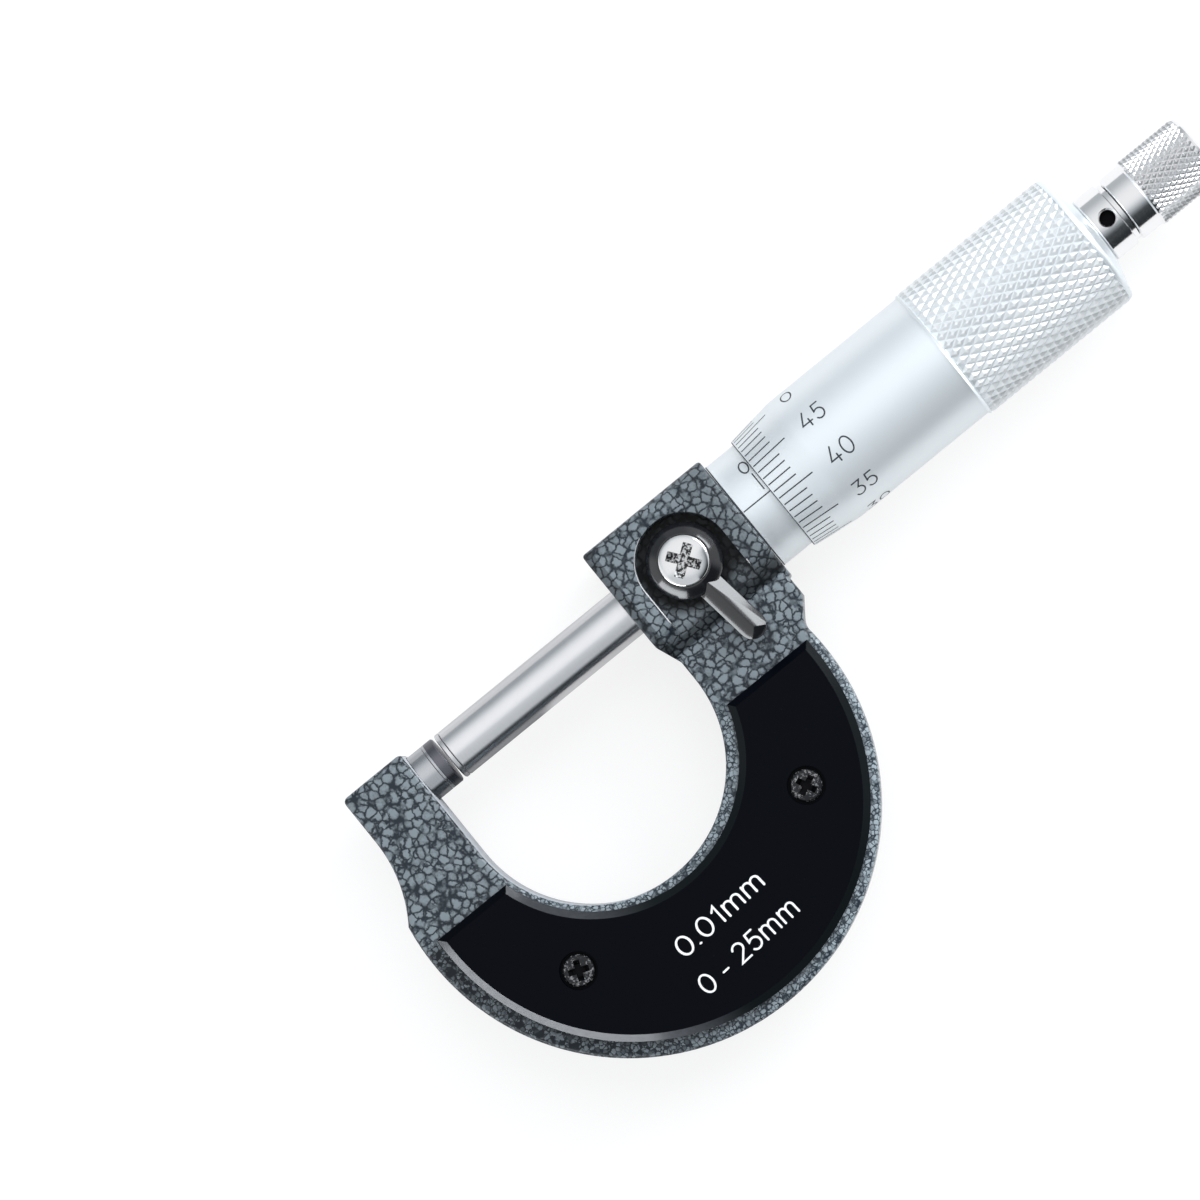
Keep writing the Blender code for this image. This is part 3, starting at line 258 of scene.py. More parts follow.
class StageSettings(PropertyGroup):
    camera_x: length("Camera x", "Camera place along the measuring axis", 0.0489)
    camera_y: length("Camera y", "Camera place across it", -0.0458)
    camera_height: length("Camera height", "Camera height above the axis", 0.725)
    tilt_x: degrees("Tilt across", "Turn of the camera about its own x axis", -1.91)
    tilt_y: degrees("Tilt along", "Turn of the camera about its own y axis", -3.79)
    roll: degrees("Roll", "The measuring axis rises by this angle in the picture", 39.154)
    scale: number("Scale", "Parts to a metre, 1200 parts to the picture's width", 8151)
    floor: share("Floor", "Diffuse brightness of the floor", 0.23)
    key: number("Overhead light", "Power of the soft box above", 1.7)
    side: number("Side lights", "Power of the two low soft boxes", 0.7)


class MicrometerSettings(PropertyGroup):
    frame: PointerProperty(type=FrameSizes)
    plate: PointerProperty(type=PlateSizes)
    scale: PointerProperty(type=ScaleSizes)
    ratchet: PointerProperty(type=RatchetSizes)
    lock: PointerProperty(type=LockSizes)
    finish: PointerProperty(type=Finishes)
    stage: PointerProperty(type=StageSettings)


def settings():
    return bpy.context.scene.micrometer


# ---------------------------------------------------------------- shapes

def arc(x, y, radius, start, end, step=2.0):
    """Points along an arc, in degrees from +x, both ends included."""
    return ellipse(x, y, radius, radius, start, end, max(2, math.ceil(abs(end - start) / step)))


def ellipse(x, y, rx, ry, start, end, steps=14):
    """Points along a part of an ellipse, both ends included."""
    angles = [math.radians(start + (end - start) * i / steps) for i in range(steps + 1)]
    return [(x + rx * math.cos(a), y + ry * math.sin(a)) for a in angles]


def angle_of(x, y, centre_x, centre_y):
    return math.degrees(math.atan2(y - centre_y, x - centre_x)) % 360


def circles_meet(ax, ay, ar, bx, by, br):
    """The lower of the two points where two circles cross."""
    dx, dy = bx - ax, by - ay
    distance = math.hypot(dx, dy)
    along = (ar * ar - br * br + distance * distance) / (2 * distance)
    aside = math.sqrt(ar * ar - along * along)
    x, y = ax + along * dx / distance, ay + along * dy / distance
    points = [(x + s * aside * dy / distance, y - s * aside * dx / distance) for s in (-1, 1)]
    return min(points, key=lambda p: p[1])


@contextmanager
def editing(mesh):
    """The mesh opened for editing. The changes are written back at the end."""
    work = bmesh.new()
    work.from_mesh(mesh)
    yield work
    work.to_mesh(mesh)
    work.free()


def temporary(mesh):
    item = bpy.data.objects.new("work", mesh)
    bpy.context.scene.collection.objects.link(item)
    return item


def baked(item, *others):
    """The object's mesh with its modifiers applied. The objects themselves are removed."""
    graph = bpy.context.evaluated_depsgraph_get()
    mesh = bpy.data.meshes.new_from_object(item.evaluated_get(graph))
    for extra in (item, *others):
        bpy.data.objects.remove(extra)
    return mesh


def modified(mesh, kind, *others, **values):
    """The mesh with one modifier applied, and the objects that it needed removed."""
    item = temporary(mesh)
    modifier = item.modifiers.new("shape", kind)
    for key, value in values.items():
        setattr(modifier, key, value)
    return baked(item, *others)


def cleaned(mesh, merge=MERGE, flat=0.0):
    """Merges doubled points, then flat neighbours if asked to, and turns the faces outwards."""
    with editing(mesh) as work:
        bmesh.ops.remove_doubles(work, verts=work.verts, dist=merge)
        if flat:
            bmesh.ops.dissolve_limit(work, angle_limit=flat, verts=work.verts, edges=work.edges)
        bmesh.ops.recalc_face_normals(work, faces=work.faces)
    return mesh


def solid(outline, low, high):
    """A closed prism on a flat outline, from height low to height high."""
    curve = bpy.data.curves.new("outline", 'CURVE')
    curve.dimensions = '2D'
    curve.fill_mode = 'BOTH'
    curve.extrude = (high - low) / 2
    spline = curve.splines.new('POLY')
    spline.points.add(len(outline) - 1)
    for point, (x, y) in zip(spline.points, outline):
        point.co = (x, y, 0, 1)
    spline.use_cyclic_u = True
    mesh = baked(temporary(curve))
    bpy.data.curves.remove(curve)
    mesh.transform(Matrix.Translation((0, 0, (low + high) / 2)))
    return cleaned(mesh, 2 * MERGE, math.radians(0.4))


def turned(profile, steps=128, closed=None):
    """A turned shape about the measuring axis from (x, radius) points."""
    closed = profile[0][1] > 0 if closed is None else closed
    mesh = bpy.data.meshes.new("profile")
    edges = [(i, i + 1) for i in range(len(profile) - 1)]
    if closed:
        edges.append((len(profile) - 1, 0))
    mesh.from_pydata([(x, 0, r) for x, r in profile], edges, [])
    return smooth(cleaned(modified(
        mesh, 'SCREW', axis='X', steps=steps, render_steps=steps, use_merge_vertices=True,
        merge_threshold=2 * MERGE)))


def upright(profile, steps, closed=None):
    """A turned shape that stands on z, from (z, radius) points."""
    return moved(turned(profile, steps, closed), turn=(0, -math.pi / 2, 0))


def smooth(mesh, angle=30):
    mesh.shade_smooth()
    mesh.set_sharp_from_angle(angle=math.radians(angle))
    return mesh


def bevelled(mesh, width, segments, angle=40):
    """The mesh with each edge rounded that bends by more than the angle."""
    return modified(mesh, 'BEVEL', width=width, segments=segments, limit_method='ANGLE',
                    angle_limit=math.radians(angle))


def combined(mesh, other, operation='DIFFERENCE'):
    """The mesh cut by another one, or joined or crossed with it."""
    tool = temporary(other)
    return modified(mesh, 'BOOLEAN', tool, object=tool, operation=operation, solver='EXACT')


def joined(*meshes):
    """One mesh of several loose shells."""
    result = bpy.data.meshes.new("joined")
    with editing(result) as work:
        for mesh in meshes:
            work.from_mesh(mesh)
    return result


def moved(mesh, place=(0, 0, 0), turn=(0, 0, 0)):
    mesh.transform(Matrix.Translation(place) @ Euler(turn).to_matrix().to_4x4())
    return mesh


def along_x(mesh):
    """Turns a shape that stands on z onto the measuring axis."""
    return moved(mesh, turn=(0, math.pi / 2, 0))


def post(radius, low, high, steps=48, chamfer=0.0):
    """A round bar that stands on z; chamfer widens its upper end, as for a countersunk hole."""
    wide = [(high - chamfer, radius), (high, radius + chamfer)] if chamfer else [(high, radius)]
    return upright([(low, 0), (low, radius), *wide, (high, 0)], steps)


def second_finish(mesh, test):
    """Gives the second finish to each face whose middle and normal pass the test."""
    for polygon in mesh.polygons:
        polygon.material_index = int(test(polygon.center, polygon.normal))
    return mesh


def finished(name, mesh, body, looks, nodes=()):
    """A finished piece: put in place on the frame, with its body, its nodes and its looks."""
    mesh.transform(Matrix.Translation(AXIS))
    mesh.name = name
    indices = [min(polygon.material_index, len(looks) - 1) for polygon in mesh.polygons]
    mesh.materials.clear()
    for look in looks:
        mesh.materials.append(FINISH[look])
    mesh.polygons.foreach_set("material_index", indices)
    item = bpy.data.objects.new(name, mesh)
    bpy.context.scene.collection.objects.link(item)
    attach(item, body)
    if nodes:
        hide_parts(*nodes)
    return item


# ---------------------------------------------------------------- node trees

class Nodes:
    """Adds nodes to one tree. Most calls give an output of the node that they add."""

    def __init__(self, tree):
        self.tree = tree

    def feed(self, socket, value):
        """Links an output to an input, or sets the input's own value."""
        if isinstance(value, bpy.types.NodeSocket):
            self.tree.links.new(value, socket)
        elif value is not None:
            socket.default_value = (*value[:3], 1) if socket.type == 'RGBA' else value

    def fill(self, sockets, values):
        for key, value in values.items():
            self.feed(sockets[key], value)

    def add(self, kind, *inputs, named=None, out=0, **values):
        """Adds a node with its inputs and gives one output, or all of them if out is None."""
        node = self.tree.nodes.new(kind)
        for key, value in values.items():
            setattr(node, key, value)
        self.fill(node.inputs, {**dict(enumerate(inputs)), **(named or {})})
        return node.outputs if out is None else node.outputs[out]

    def maths(self, operation, *values):
        return self.add('ShaderNodeMath', *values, operation=operation)

    def times(self, *factors):
        return reduce(lambda a, b: self.maths('MULTIPLY', a, b), factors)

    def line(self, value, factor, start):
        """value * factor + start"""
        return self.maths('MULTIPLY_ADD', value, factor, start)

    def most(self, *values):
        return reduce(lambda a, b: self.maths('MAXIMUM', a, b), values)

    def ramp(self, value, low, high, to_low=0.0, to_high=1.0):
        """A smooth step from to_low, where the value is low, to to_high."""
        return self.add('ShaderNodeMapRange', value, low, high, to_low, to_high,
                        interpolation_type='SMOOTHSTEP')

    def blend(self, factor, a, b, mode='MIX'):
        return self.add('ShaderNodeMix', named={0: factor, 6: a, 7: b}, out=2,
                        data_type='RGBA', blend_type=mode)

    def split(self, vector):
        return self.add('ShaderNodeSeparateXYZ', vector, out=None)

    def length(self, *places):
        """Length of the vector with these components."""
        return self.add('ShaderNodeVectorMath', self.add('ShaderNodeCombineXYZ', *places),
                        operation='LENGTH', out="Value")

    def noise(self, vector, scale, detail, roughness=0.5, out="Fac"):
        return self.add('ShaderNodeTexNoise', out=out, named={
            "Vector": vector, "Scale": scale, "Detail": detail, "Roughness": roughness})


KINDS = {float: 'NodeSocketFloat', int: 'NodeSocketInt', tuple: 'NodeSocketColor'}


def node_group(kind, inputs, outputs):
    """Wraps a function that fills a node group, so that it gives the group and makes it only once.

    An input is given by its value, or by its socket's type where it has no value of its own.
    """
    def wrap(fill):
        def group():
            tree = bpy.data.node_groups.get(fill.__name__)
            if tree:
                return tree
            tree = bpy.data.node_groups.new(fill.__name__, kind)
            for name, value in inputs.items():
                given = value if isinstance(value, str) else KINDS[type(value)]
                socket = tree.interface.new_socket(name, in_out='INPUT', socket_type=given)
                if given != value:
                    socket.default_value = value
            for name, value in outputs.items():
                tree.interface.new_socket(name, in_out='OUTPUT', socket_type=value)
            start, end = tree.nodes.new('NodeGroupInput'), tree.nodes.new('NodeGroupOutput')
            fill(Nodes(tree), start.outputs, end.inputs)
            return tree
        return group
    return wrap


MESH_OUTPUT = {"Geometry": 'NodeSocketGeometry'}
SHADER_OUTPUTS = {"Color": 'NodeSocketColor', "Height": 'NodeSocketFloat'}


def instanced(nodes, given, result, **named):
    """Real copies of a piece on points, with the material that was given."""
    copies = nodes.add('GeometryNodeInstanceOnPoints', named=named)
    nodes.feed(result["Geometry"], nodes.add('GeometryNodeSetMaterial', named={
        "Geometry": nodes.add('GeometryNodeRealizeInstances', copies),
        "Material": given["Material"]}))


@node_group('GeometryNodeTree', {
    "Geometry": 'NodeSocketGeometry', "Piece": 'NodeSocketObject', "Columns": 1, "Column Turn": 0.0,
    "Rows": 1, "Row Step": 0.0, "Stagger": 0.0, "Start Turn": 0.0, "Start Along": 0.0,
    "Radius": 0.01, "Slope": 0.0, "Leave Out Every": 0, "Material": 'NodeSocketMaterial',
}, MESH_OUTPUT)
def marks_on_a_cylinder(nodes, given, result):
    """Repeats one flat mark or diamond in rows and columns on a round or conical surface."""
    piece = nodes.add('GeometryNodeObjectInfo', given["Piece"], out="Geometry")
    x, y, z = nodes.split(nodes.add('GeometryNodeInputPosition'))
    angle = nodes.maths('DIVIDE', y, given["Radius"])
    radius = nodes.maths('ADD', nodes.line(x, given["Slope"], z), given["Radius"])
    wrapped = nodes.add('ShaderNodeCombineXYZ', x, nodes.times(radius, nodes.maths('SINE', angle)),
                        nodes.times(radius, nodes.maths('COSINE', angle)))
    bent = nodes.add('GeometryNodeSetPosition', named={"Geometry": piece, "Position": wrapped})
    points = nodes.add('GeometryNodeMeshLine', named={
        "Count": nodes.times(given["Columns"], given["Rows"]), "Offset": (0, 0, 0)})
    index = nodes.add('GeometryNodeInputIndex')
    column = nodes.maths('MODULO', index, given["Columns"])
    row = nodes.maths('FLOOR', nodes.maths('DIVIDE', index, given["Columns"]))
    shifted = nodes.line(nodes.maths('MODULO', row, 2.0), given["Stagger"], column)
    turn = nodes.line(shifted, given["Column Turn"], given["Start Turn"])
    along = nodes.line(row, given["Row Step"], given["Start Along"])
    spots = nodes.add('GeometryNodeSetPosition', named={
        "Geometry": points, "Position": nodes.add('ShaderNodeCombineXYZ', along)})
    every = given["Leave Out Every"]
    place = nodes.maths('MODULO', index, nodes.most(every, 1.0))
    first, used = nodes.maths('LESS_THAN', place, 0.5), nodes.maths('GREATER_THAN', every, 0.5)
    kept = nodes.maths('SUBTRACT', 1.0, nodes.times(first, used))
    instanced(nodes, given, result, Points=spots, Selection=kept, Instance=bent,
              Rotation=nodes.add('ShaderNodeCombineXYZ', nodes.times(turn, -1.0)))


@node_group('GeometryNodeTree', {
    "Geometry": 'NodeSocketGeometry', "Piece": 'NodeSocketObject', "Material": 'NodeSocketMaterial',
}, MESH_OUTPUT)
def screws_on_points(nodes, given, result):
    """Sets one screw on each point of a mesh, turned by the point's own angles."""
    piece = nodes.add('GeometryNodeObjectInfo', given["Piece"], out="Geometry")
    turn = nodes.add('GeometryNodeInputNamedAttribute', "turn", data_type='FLOAT_VECTOR')
    instanced(nodes, given, result, Points=given["Geometry"], Instance=piece, Rotation=turn)


def grown(tree, ground, piece, values):
    """The mesh that a tree makes from a ground mesh and a piece, with named inputs."""
    item, part = temporary(ground), temporary(piece)
    part.hide_render = True
    modifier = item.modifiers.new("repeat", 'NODES')
    modifier.node_group = tree
    names = {socket.name: socket.identifier for socket in tree.interface.items_tree
             if socket.in_out == 'INPUT'}
    for key, value in {"Piece": part, **values}.items():
        modifier[names[key]] = value
    return baked(item, part)


def repeated(piece, look, **values):
    """Marks or diamonds in rows and columns, from one of them."""
    named = {key.replace("_", " ").title(): value for key, value in values.items()}
    named["Material"] = FINISH[look]
    return grown(marks_on_a_cylinder(), bpy.data.meshes.new("ground"), piece, named)


# ---------------------------------------------------------------- finishes

@node_group('ShaderNodeTree', {
    "Vector": 'NodeSocketVector', "Blob Size": 0.00135, "Fine": 0.0, "Brightness": 1.0,
    "Light": (0.2, 0.2, 0.2, 1), "Dark": (0.03, 0.03, 0.03, 1),
}, {**SHADER_OUTPUTS, "Roughness": 'NodeSocketFloat'})
def hammer_finish(nodes, given, result):
    """Hammer finish: raised light blobs on dark veins, with a finer grain where Fine is 1."""
    vector, fine = given["Vector"], given["Fine"]
    scale = nodes.maths('DIVIDE', 1.0, given["Blob Size"])
    wander = nodes.noise(vector, 1250.0, 3.0, 0.6, "Color")
    centred = nodes.add('ShaderNodeVectorMath', wander, (0.5, 0.5, 0.5), operation='SUBTRACT')
    shift = nodes.add('ShaderNodeVectorMath', centred, named={"Scale": 0.00075}, operation='SCALE')
    bent = nodes.add('ShaderNodeVectorMath', vector, shift, operation='ADD')

    def blobs(size):
        """Rounded blobs on darker veins, and a number of its own for each blob."""
        named = {"Vector": bent, "Scale": nodes.times(scale, size), "Randomness": 0.88}
        edge, heart = (
            nodes.add('ShaderNodeTexVoronoi', feature=feature, out="Distance", named=named)
            for feature in ('DISTANCE_TO_EDGE', 'F1'))
        tint = nodes.add('ShaderNodeTexVoronoi', out="Color", named=named)
        soft = nodes.times(nodes.ramp(edge, 0.015, 0.17), nodes.ramp(heart, 0.84, 0.50),
                           nodes.ramp(heart, 0.75, 0.15, 0.82, 1.12))
        return soft, nodes.add('ShaderNodeSeparateColor', tint)

    body, tone = (nodes.ramp(fine, 0.0, 1.0, coarse, small)
                  for coarse, small in zip(blobs(1.0), blobs(2.0)))
    filled = nodes.ramp(nodes.noise(vector, 950.0, 2.0), 0.52, 0.70, 0.0, 0.5)
    grain = nodes.noise(vector, 2600.0, 3.0, 0.7)
    own = nodes.line(nodes.maths('SUBTRACT', tone, 0.5), nodes.line(fine, 0.95, 0.35), 0.94)
    level = nodes.times(nodes.most(body, filled), own)
    lightness = nodes.times(level, nodes.line(grain, 1.5, 0.25))
    mixed = nodes.blend(lightness, given["Dark"], given["Light"])
    # Brightness multiplies in the painted light and shade that the caller gives
    nodes.fill(result, {
        "Color": nodes.blend(1.0, mixed, given["Brightness"], 'MULTIPLY'),
        "Height": nodes.line(grain, 0.12, level), "Roughness": nodes.line(level, -0.10, 0.46)})


@node_group('ShaderNodeTree', {
    "Vector": 'NodeSocketVector', "Rings": 9000.0, "Grain": 6000.0, "Grain Share": 0.5,
    "Roughness": 0.3, "Spread": 0.1,
}, {"Height": 'NodeSocketFloat', "Roughness": 'NodeSocketFloat', "Mask": 'NodeSocketFloat'})
def turned_grain(nodes, given, result):
    """Turning marks round the measuring axis, with fine grain over them."""
    rings = nodes.add('ShaderNodeTexNoise', noise_dimensions='1D', out="Fac", named={
        "W": nodes.times(nodes.split(given["Vector"])["X"], given["Rings"]), "Scale": 1.0,
        "Detail": 3.0})
    grain = nodes.noise(given["Vector"], given["Grain"], 3.0, 0.6)
    mixed = nodes.add('ShaderNodeMix', named={0: given["Grain Share"], 2: rings, 3: grain})
    smear = nodes.noise(given["Vector"], 240.0, 4.0, 0.65)
    change = nodes.maths('SUBTRACT', nodes.line(smear, 0.6, mixed), 0.8)
    rough = nodes.line(change, given["Spread"], given["Roughness"])
    nodes.fill(result, {"Height": mixed, "Roughness": nodes.most(rough, 0.03), "Mask": smear})


@node_group('ShaderNodeTree', {
    "Vector": 'NodeSocketVector', "Scale": 2000.0, "Amount": 0.2,
    "Ground": (0.01, 0.01, 0.01, 1), "Speck": (0.2, 0.2, 0.2, 1),
}, {**SHADER_OUTPUTS, "Mask": 'NodeSocketFloat'})
def specks(nodes, given, result):
    """Small pale specks and dust on black surfaces."""
    grain = nodes.noise(given["Vector"], given["Scale"], 3.0, 0.7)
    start = nodes.maths('SUBTRACT', 0.72, nodes.times(given["Amount"], 0.3))
    mask = nodes.ramp(grain, start, nodes.maths('ADD', start, 0.1))
    nodes.fill(result, {
        "Color": nodes.blend(mask, given["Ground"], given["Speck"]), "Height": grain, "Mask": mask})


def new_material(name, **values):
    """A Principled material: itself, its nodes, its shader's inputs and its object coordinates."""
    material = bpy.data.materials.new(name)
    material.use_nodes = True
    nodes = Nodes(material.node_tree)
    inputs = material.node_tree.nodes["Principled BSDF"].inputs
    nodes.fill(inputs, {key.replace("_", " "): value for key, value in values.items()})
    material.diffuse_color = inputs["Base Color"].default_value
    return material, nodes, inputs, nodes.add('ShaderNodeTexCoord', out="Object")


def grouped(nodes, group, **named):
    """The outputs of a node group placed among the nodes."""
    values = {key.replace("_", " "): value for key, value in named.items()}
    return nodes.add('ShaderNodeGroup', node_tree=group, named=values, out=None)


def bump(nodes, height, strength, distance):
    return nodes.add('ShaderNodeBump', named={
        "Height": height, "Strength": strength, "Distance": distance})


def on_axis(nodes, coordinates, place=(0, 0, 0)):
    """Object coordinates counted from a point of the instrument."""
    return nodes.add('ShaderNodeMapping', coordinates, -(AXIS + Vector(place)), vector_type='POINT')


def from_bow(nodes, coordinates):
    """The place from the bow's centre: x, y and the distance in the frame's plane."""
    x, y, _ = nodes.split(on_axis(nodes, coordinates, (*bow_centre(), 0)))
    return x, y, nodes.length(x, y)


def paint_material():
    """Blue-grey hammer paint of the frame, finer on the bow's rims, with painted light and shade
    over it and a painted pale reflection on the throat's left wall.
    """
    finish, sizes = settings().finish, settings().frame
    material, nodes, inputs, coordinates = new_material(
        "hammer_paint", Base_Color=finish.paint_light, Specular_IOR_Level=0.18, Coat_Weight=0.35,
        Coat_Roughness=0.14)
    bow_x, bow_y, reach = from_bow(nodes, coordinates)
    low_rim = nodes.times(nodes.ramp(reach, sizes.bow_r - 0.0024, sizes.bow_r - 0.0020),
                          nodes.ramp(bow_y, 0.0025, 0.0005))
    x, y, z = nodes.split(on_axis(nodes, coordinates, (*throat_centre(), 0)))
    hollow = nodes.length(x, nodes.maths('MINIMUM', y, 0.0))
    inner_rim = nodes.times(nodes.ramp(hollow, sizes.throat_r + 0.0017, sizes.throat_r + 0.0013),
                            nodes.ramp(y, -0.003, -0.006))
    boss = nodes.ramp(z, sizes.web + 0.0001, sizes.web + 0.0008, 0.0, 0.15)
    left = nodes.ramp(bow_x, -0.006, -0.022, 0.0, 1.2)
    fine = nodes.line(low_rim, left, nodes.most(low_rim, inner_rim, boss))
    # the throat's wall: painted shade on it, and the painted pale reflection further down
    wall = nodes.ramp(hollow, sizes.throat_r + 0.00016, sizes.throat_r + 0.00002)
    # painted shade: the pocket's painted shadow, a little darker on the boss and darker on the
    # throat's wall
    shade = nodes.times(pocket_shade(nodes, coordinates, sizes), nodes.line(boss, -0.3, 1.0),
                        nodes.line(wall, -0.5, 1.0))
    # painted light and shade on the lower rim: darker on the left, lighter on the right
    side = nodes.ramp(bow_x, -0.024, 0.018, -0.42, 0.80)
    # painted highlight along the throat's rim
    shade = nodes.line(inner_rim, 0.45, nodes.line(low_rim, side, shade))
    paint = grouped(nodes, hammer_finish(), Vector=coordinates, Blob_Size=finish.blob, Fine=fine,
                    Brightness=shade, Light=finish.paint_light, Dark=finish.paint_dark)
    # painted pale reflection on the throat's left wall, seen by the camera but left out of metal's
    # reflections
    unseen = nodes.line(nodes.add('ShaderNodeLightPath', out="Is Glossy Ray"), -0.8, 0.8)
    worn = nodes.times(wall, nodes.ramp(x, 0.0, -0.008), unseen)
    # the coat is weakened where shade is painted
    nodes.fill(inputs, {
        "Base Color": nodes.blend(worn, paint["Color"], (0.74, 0.76, 0.80)),
        "Coat Weight": nodes.times(shade, 0.3), "Roughness": paint["Roughness"],
        "Normal": bump(nodes, paint["Height"], 0.5, 0.00010)})
    return material


def pocket_shade(nodes, coordinates, sizes):
    """1 on the open paint, falling to nearly black in a painted shadow in the pocket round the
    lock's knob, with painted shade on the boss's lower slope and darker towards the boss's right
    end.
    """
    x, y, z = nodes.split(on_axis(nodes, coordinates, (LOCK.x, 0, 0)))
    half = sizes.pocket_width / 2
    reach = nodes.length(x, y)
    inside = nodes.ramp(nodes.length(x, nodes.most(y, 0.0)), half + 0.00006, half - 0.00006)
    sunk = nodes.ramp(z, sizes.boss_half - 0.0002, sizes.boss_half - 0.0007)
    above = nodes.ramp(z, sizes.web + 0.0003, sizes.web + 0.0012)
    upper_right = nodes.ramp(nodes.maths('ADD', x, y), -0.004, 0.003)
    # painted shadow on the pocket's floor round the knob, darkest towards the upper right
    near = nodes.ramp(upper_right, 0.0, 1.0, nodes.ramp(reach, 0.0072, 0.0052),
                      nodes.ramp(reach, 0.0090, 0.0062))
    raised = nodes.ramp(z, sizes.web + 0.00004, sizes.web + 0.0003)
    # painted shade on the slope below the boss's flat front, which faces away from the light
    slope = nodes.times(nodes.ramp(y, -0.0054, -0.0072), raised)
    # darker towards the boss's right end
    right = nodes.times(nodes.ramp(x, 0.002, 0.008), raised)
    return nodes.times(*(nodes.line(mask, darkening, 1.0) for mask, darkening in (
        (nodes.times(inside, near, sunk, above), -0.95), (right, -0.22), (slope, -0.68))))


def turned_material(name, tint, roughness, spread, rings, grain, strength, tone=0.06, metallic=1.0):
    """Metal turned or ground about the measuring axis."""
    material, nodes, inputs, coordinates = new_material(name, Base_Color=tint, Metallic=metallic)
    marks = grouped(nodes, turned_grain(), Vector=coordinates, Rings=rings, Grain_Share=grain,
                    Roughness=roughness, Spread=spread)
    darker = tuple(c * (1 - tone * 2) for c in tint)
    nodes.fill(inputs, {
        "Roughness": marks["Roughness"], "Base Color": nodes.blend(marks["Mask"], darker, tint),
        "Normal": bump(nodes, marks["Height"], strength, 0.00001)})
    return material


def black_material(name, tint, roughness, level, speck, scale, amount, strength, **values):
    """Black paint or moulding with faint specks in it."""
    material, nodes, inputs, coordinates = new_material(
        name, Base_Color=tint, Specular_IOR_Level=level, **values)
    dust = grouped(nodes, specks(), Vector=coordinates, Scale=scale, Amount=amount, Ground=tint,
                   Speck=speck)
    nodes.fill(inputs, {
        "Base Color": dust["Color"], "Roughness": nodes.line(dust["Mask"], 0.12, roughness),
        "Normal": bump(nodes, dust["Height"], strength, 0.00002)})
    return material


def edge_material():
    """The plate's bevel: black, with a painted pale reflection along its lower left."""
    finish, sizes = settings().finish, settings().frame
    material, nodes, inputs, coordinates = new_material(
        "moulding_edge", Base_Color=finish.plate, Roughness=0.24, Specular_IOR_Level=0.07,
        Coat_Roughness=0.15)
    x, _, reach = from_bow(nodes, coordinates)
    outer = nodes.ramp(reach, sizes.bow_r - 0.006, sizes.bow_r - 0.005)
    # painted reflection: grey colour and coat on the outer bevel at the lower left, fading to the
    # right
    shine = nodes.ramp(outer, 0.0, 1.0, nodes.ramp(x, -0.004, -0.014, 0.0, 0.5),
                       nodes.ramp(x, -0.003, -0.015))
    level = nodes.times(shine, nodes.line(nodes.noise(coordinates, 1500.0, 3.0), 0.6, 0.7))
    nodes.fill(inputs, {
        "Base Color": nodes.blend(level, (0.006, 0.0085, 0.0095), (0.085, 0.09, 0.10)),
        "Coat Weight": nodes.times(level, 0.55)})
    return material


def ink_material(name, tint):
    """Ink of lines and figures, a little uneven."""
    material, nodes, inputs, coordinates = new_material(name, Base_Color=tint, Roughness=0.5)
    weak = tuple(min(1.0, c * 1.35 + 0.01) for c in tint)
    nodes.feed(inputs["Base Color"], nodes.blend(nodes.noise(coordinates, 1800.0, 2.0), tint, weak))
    return material


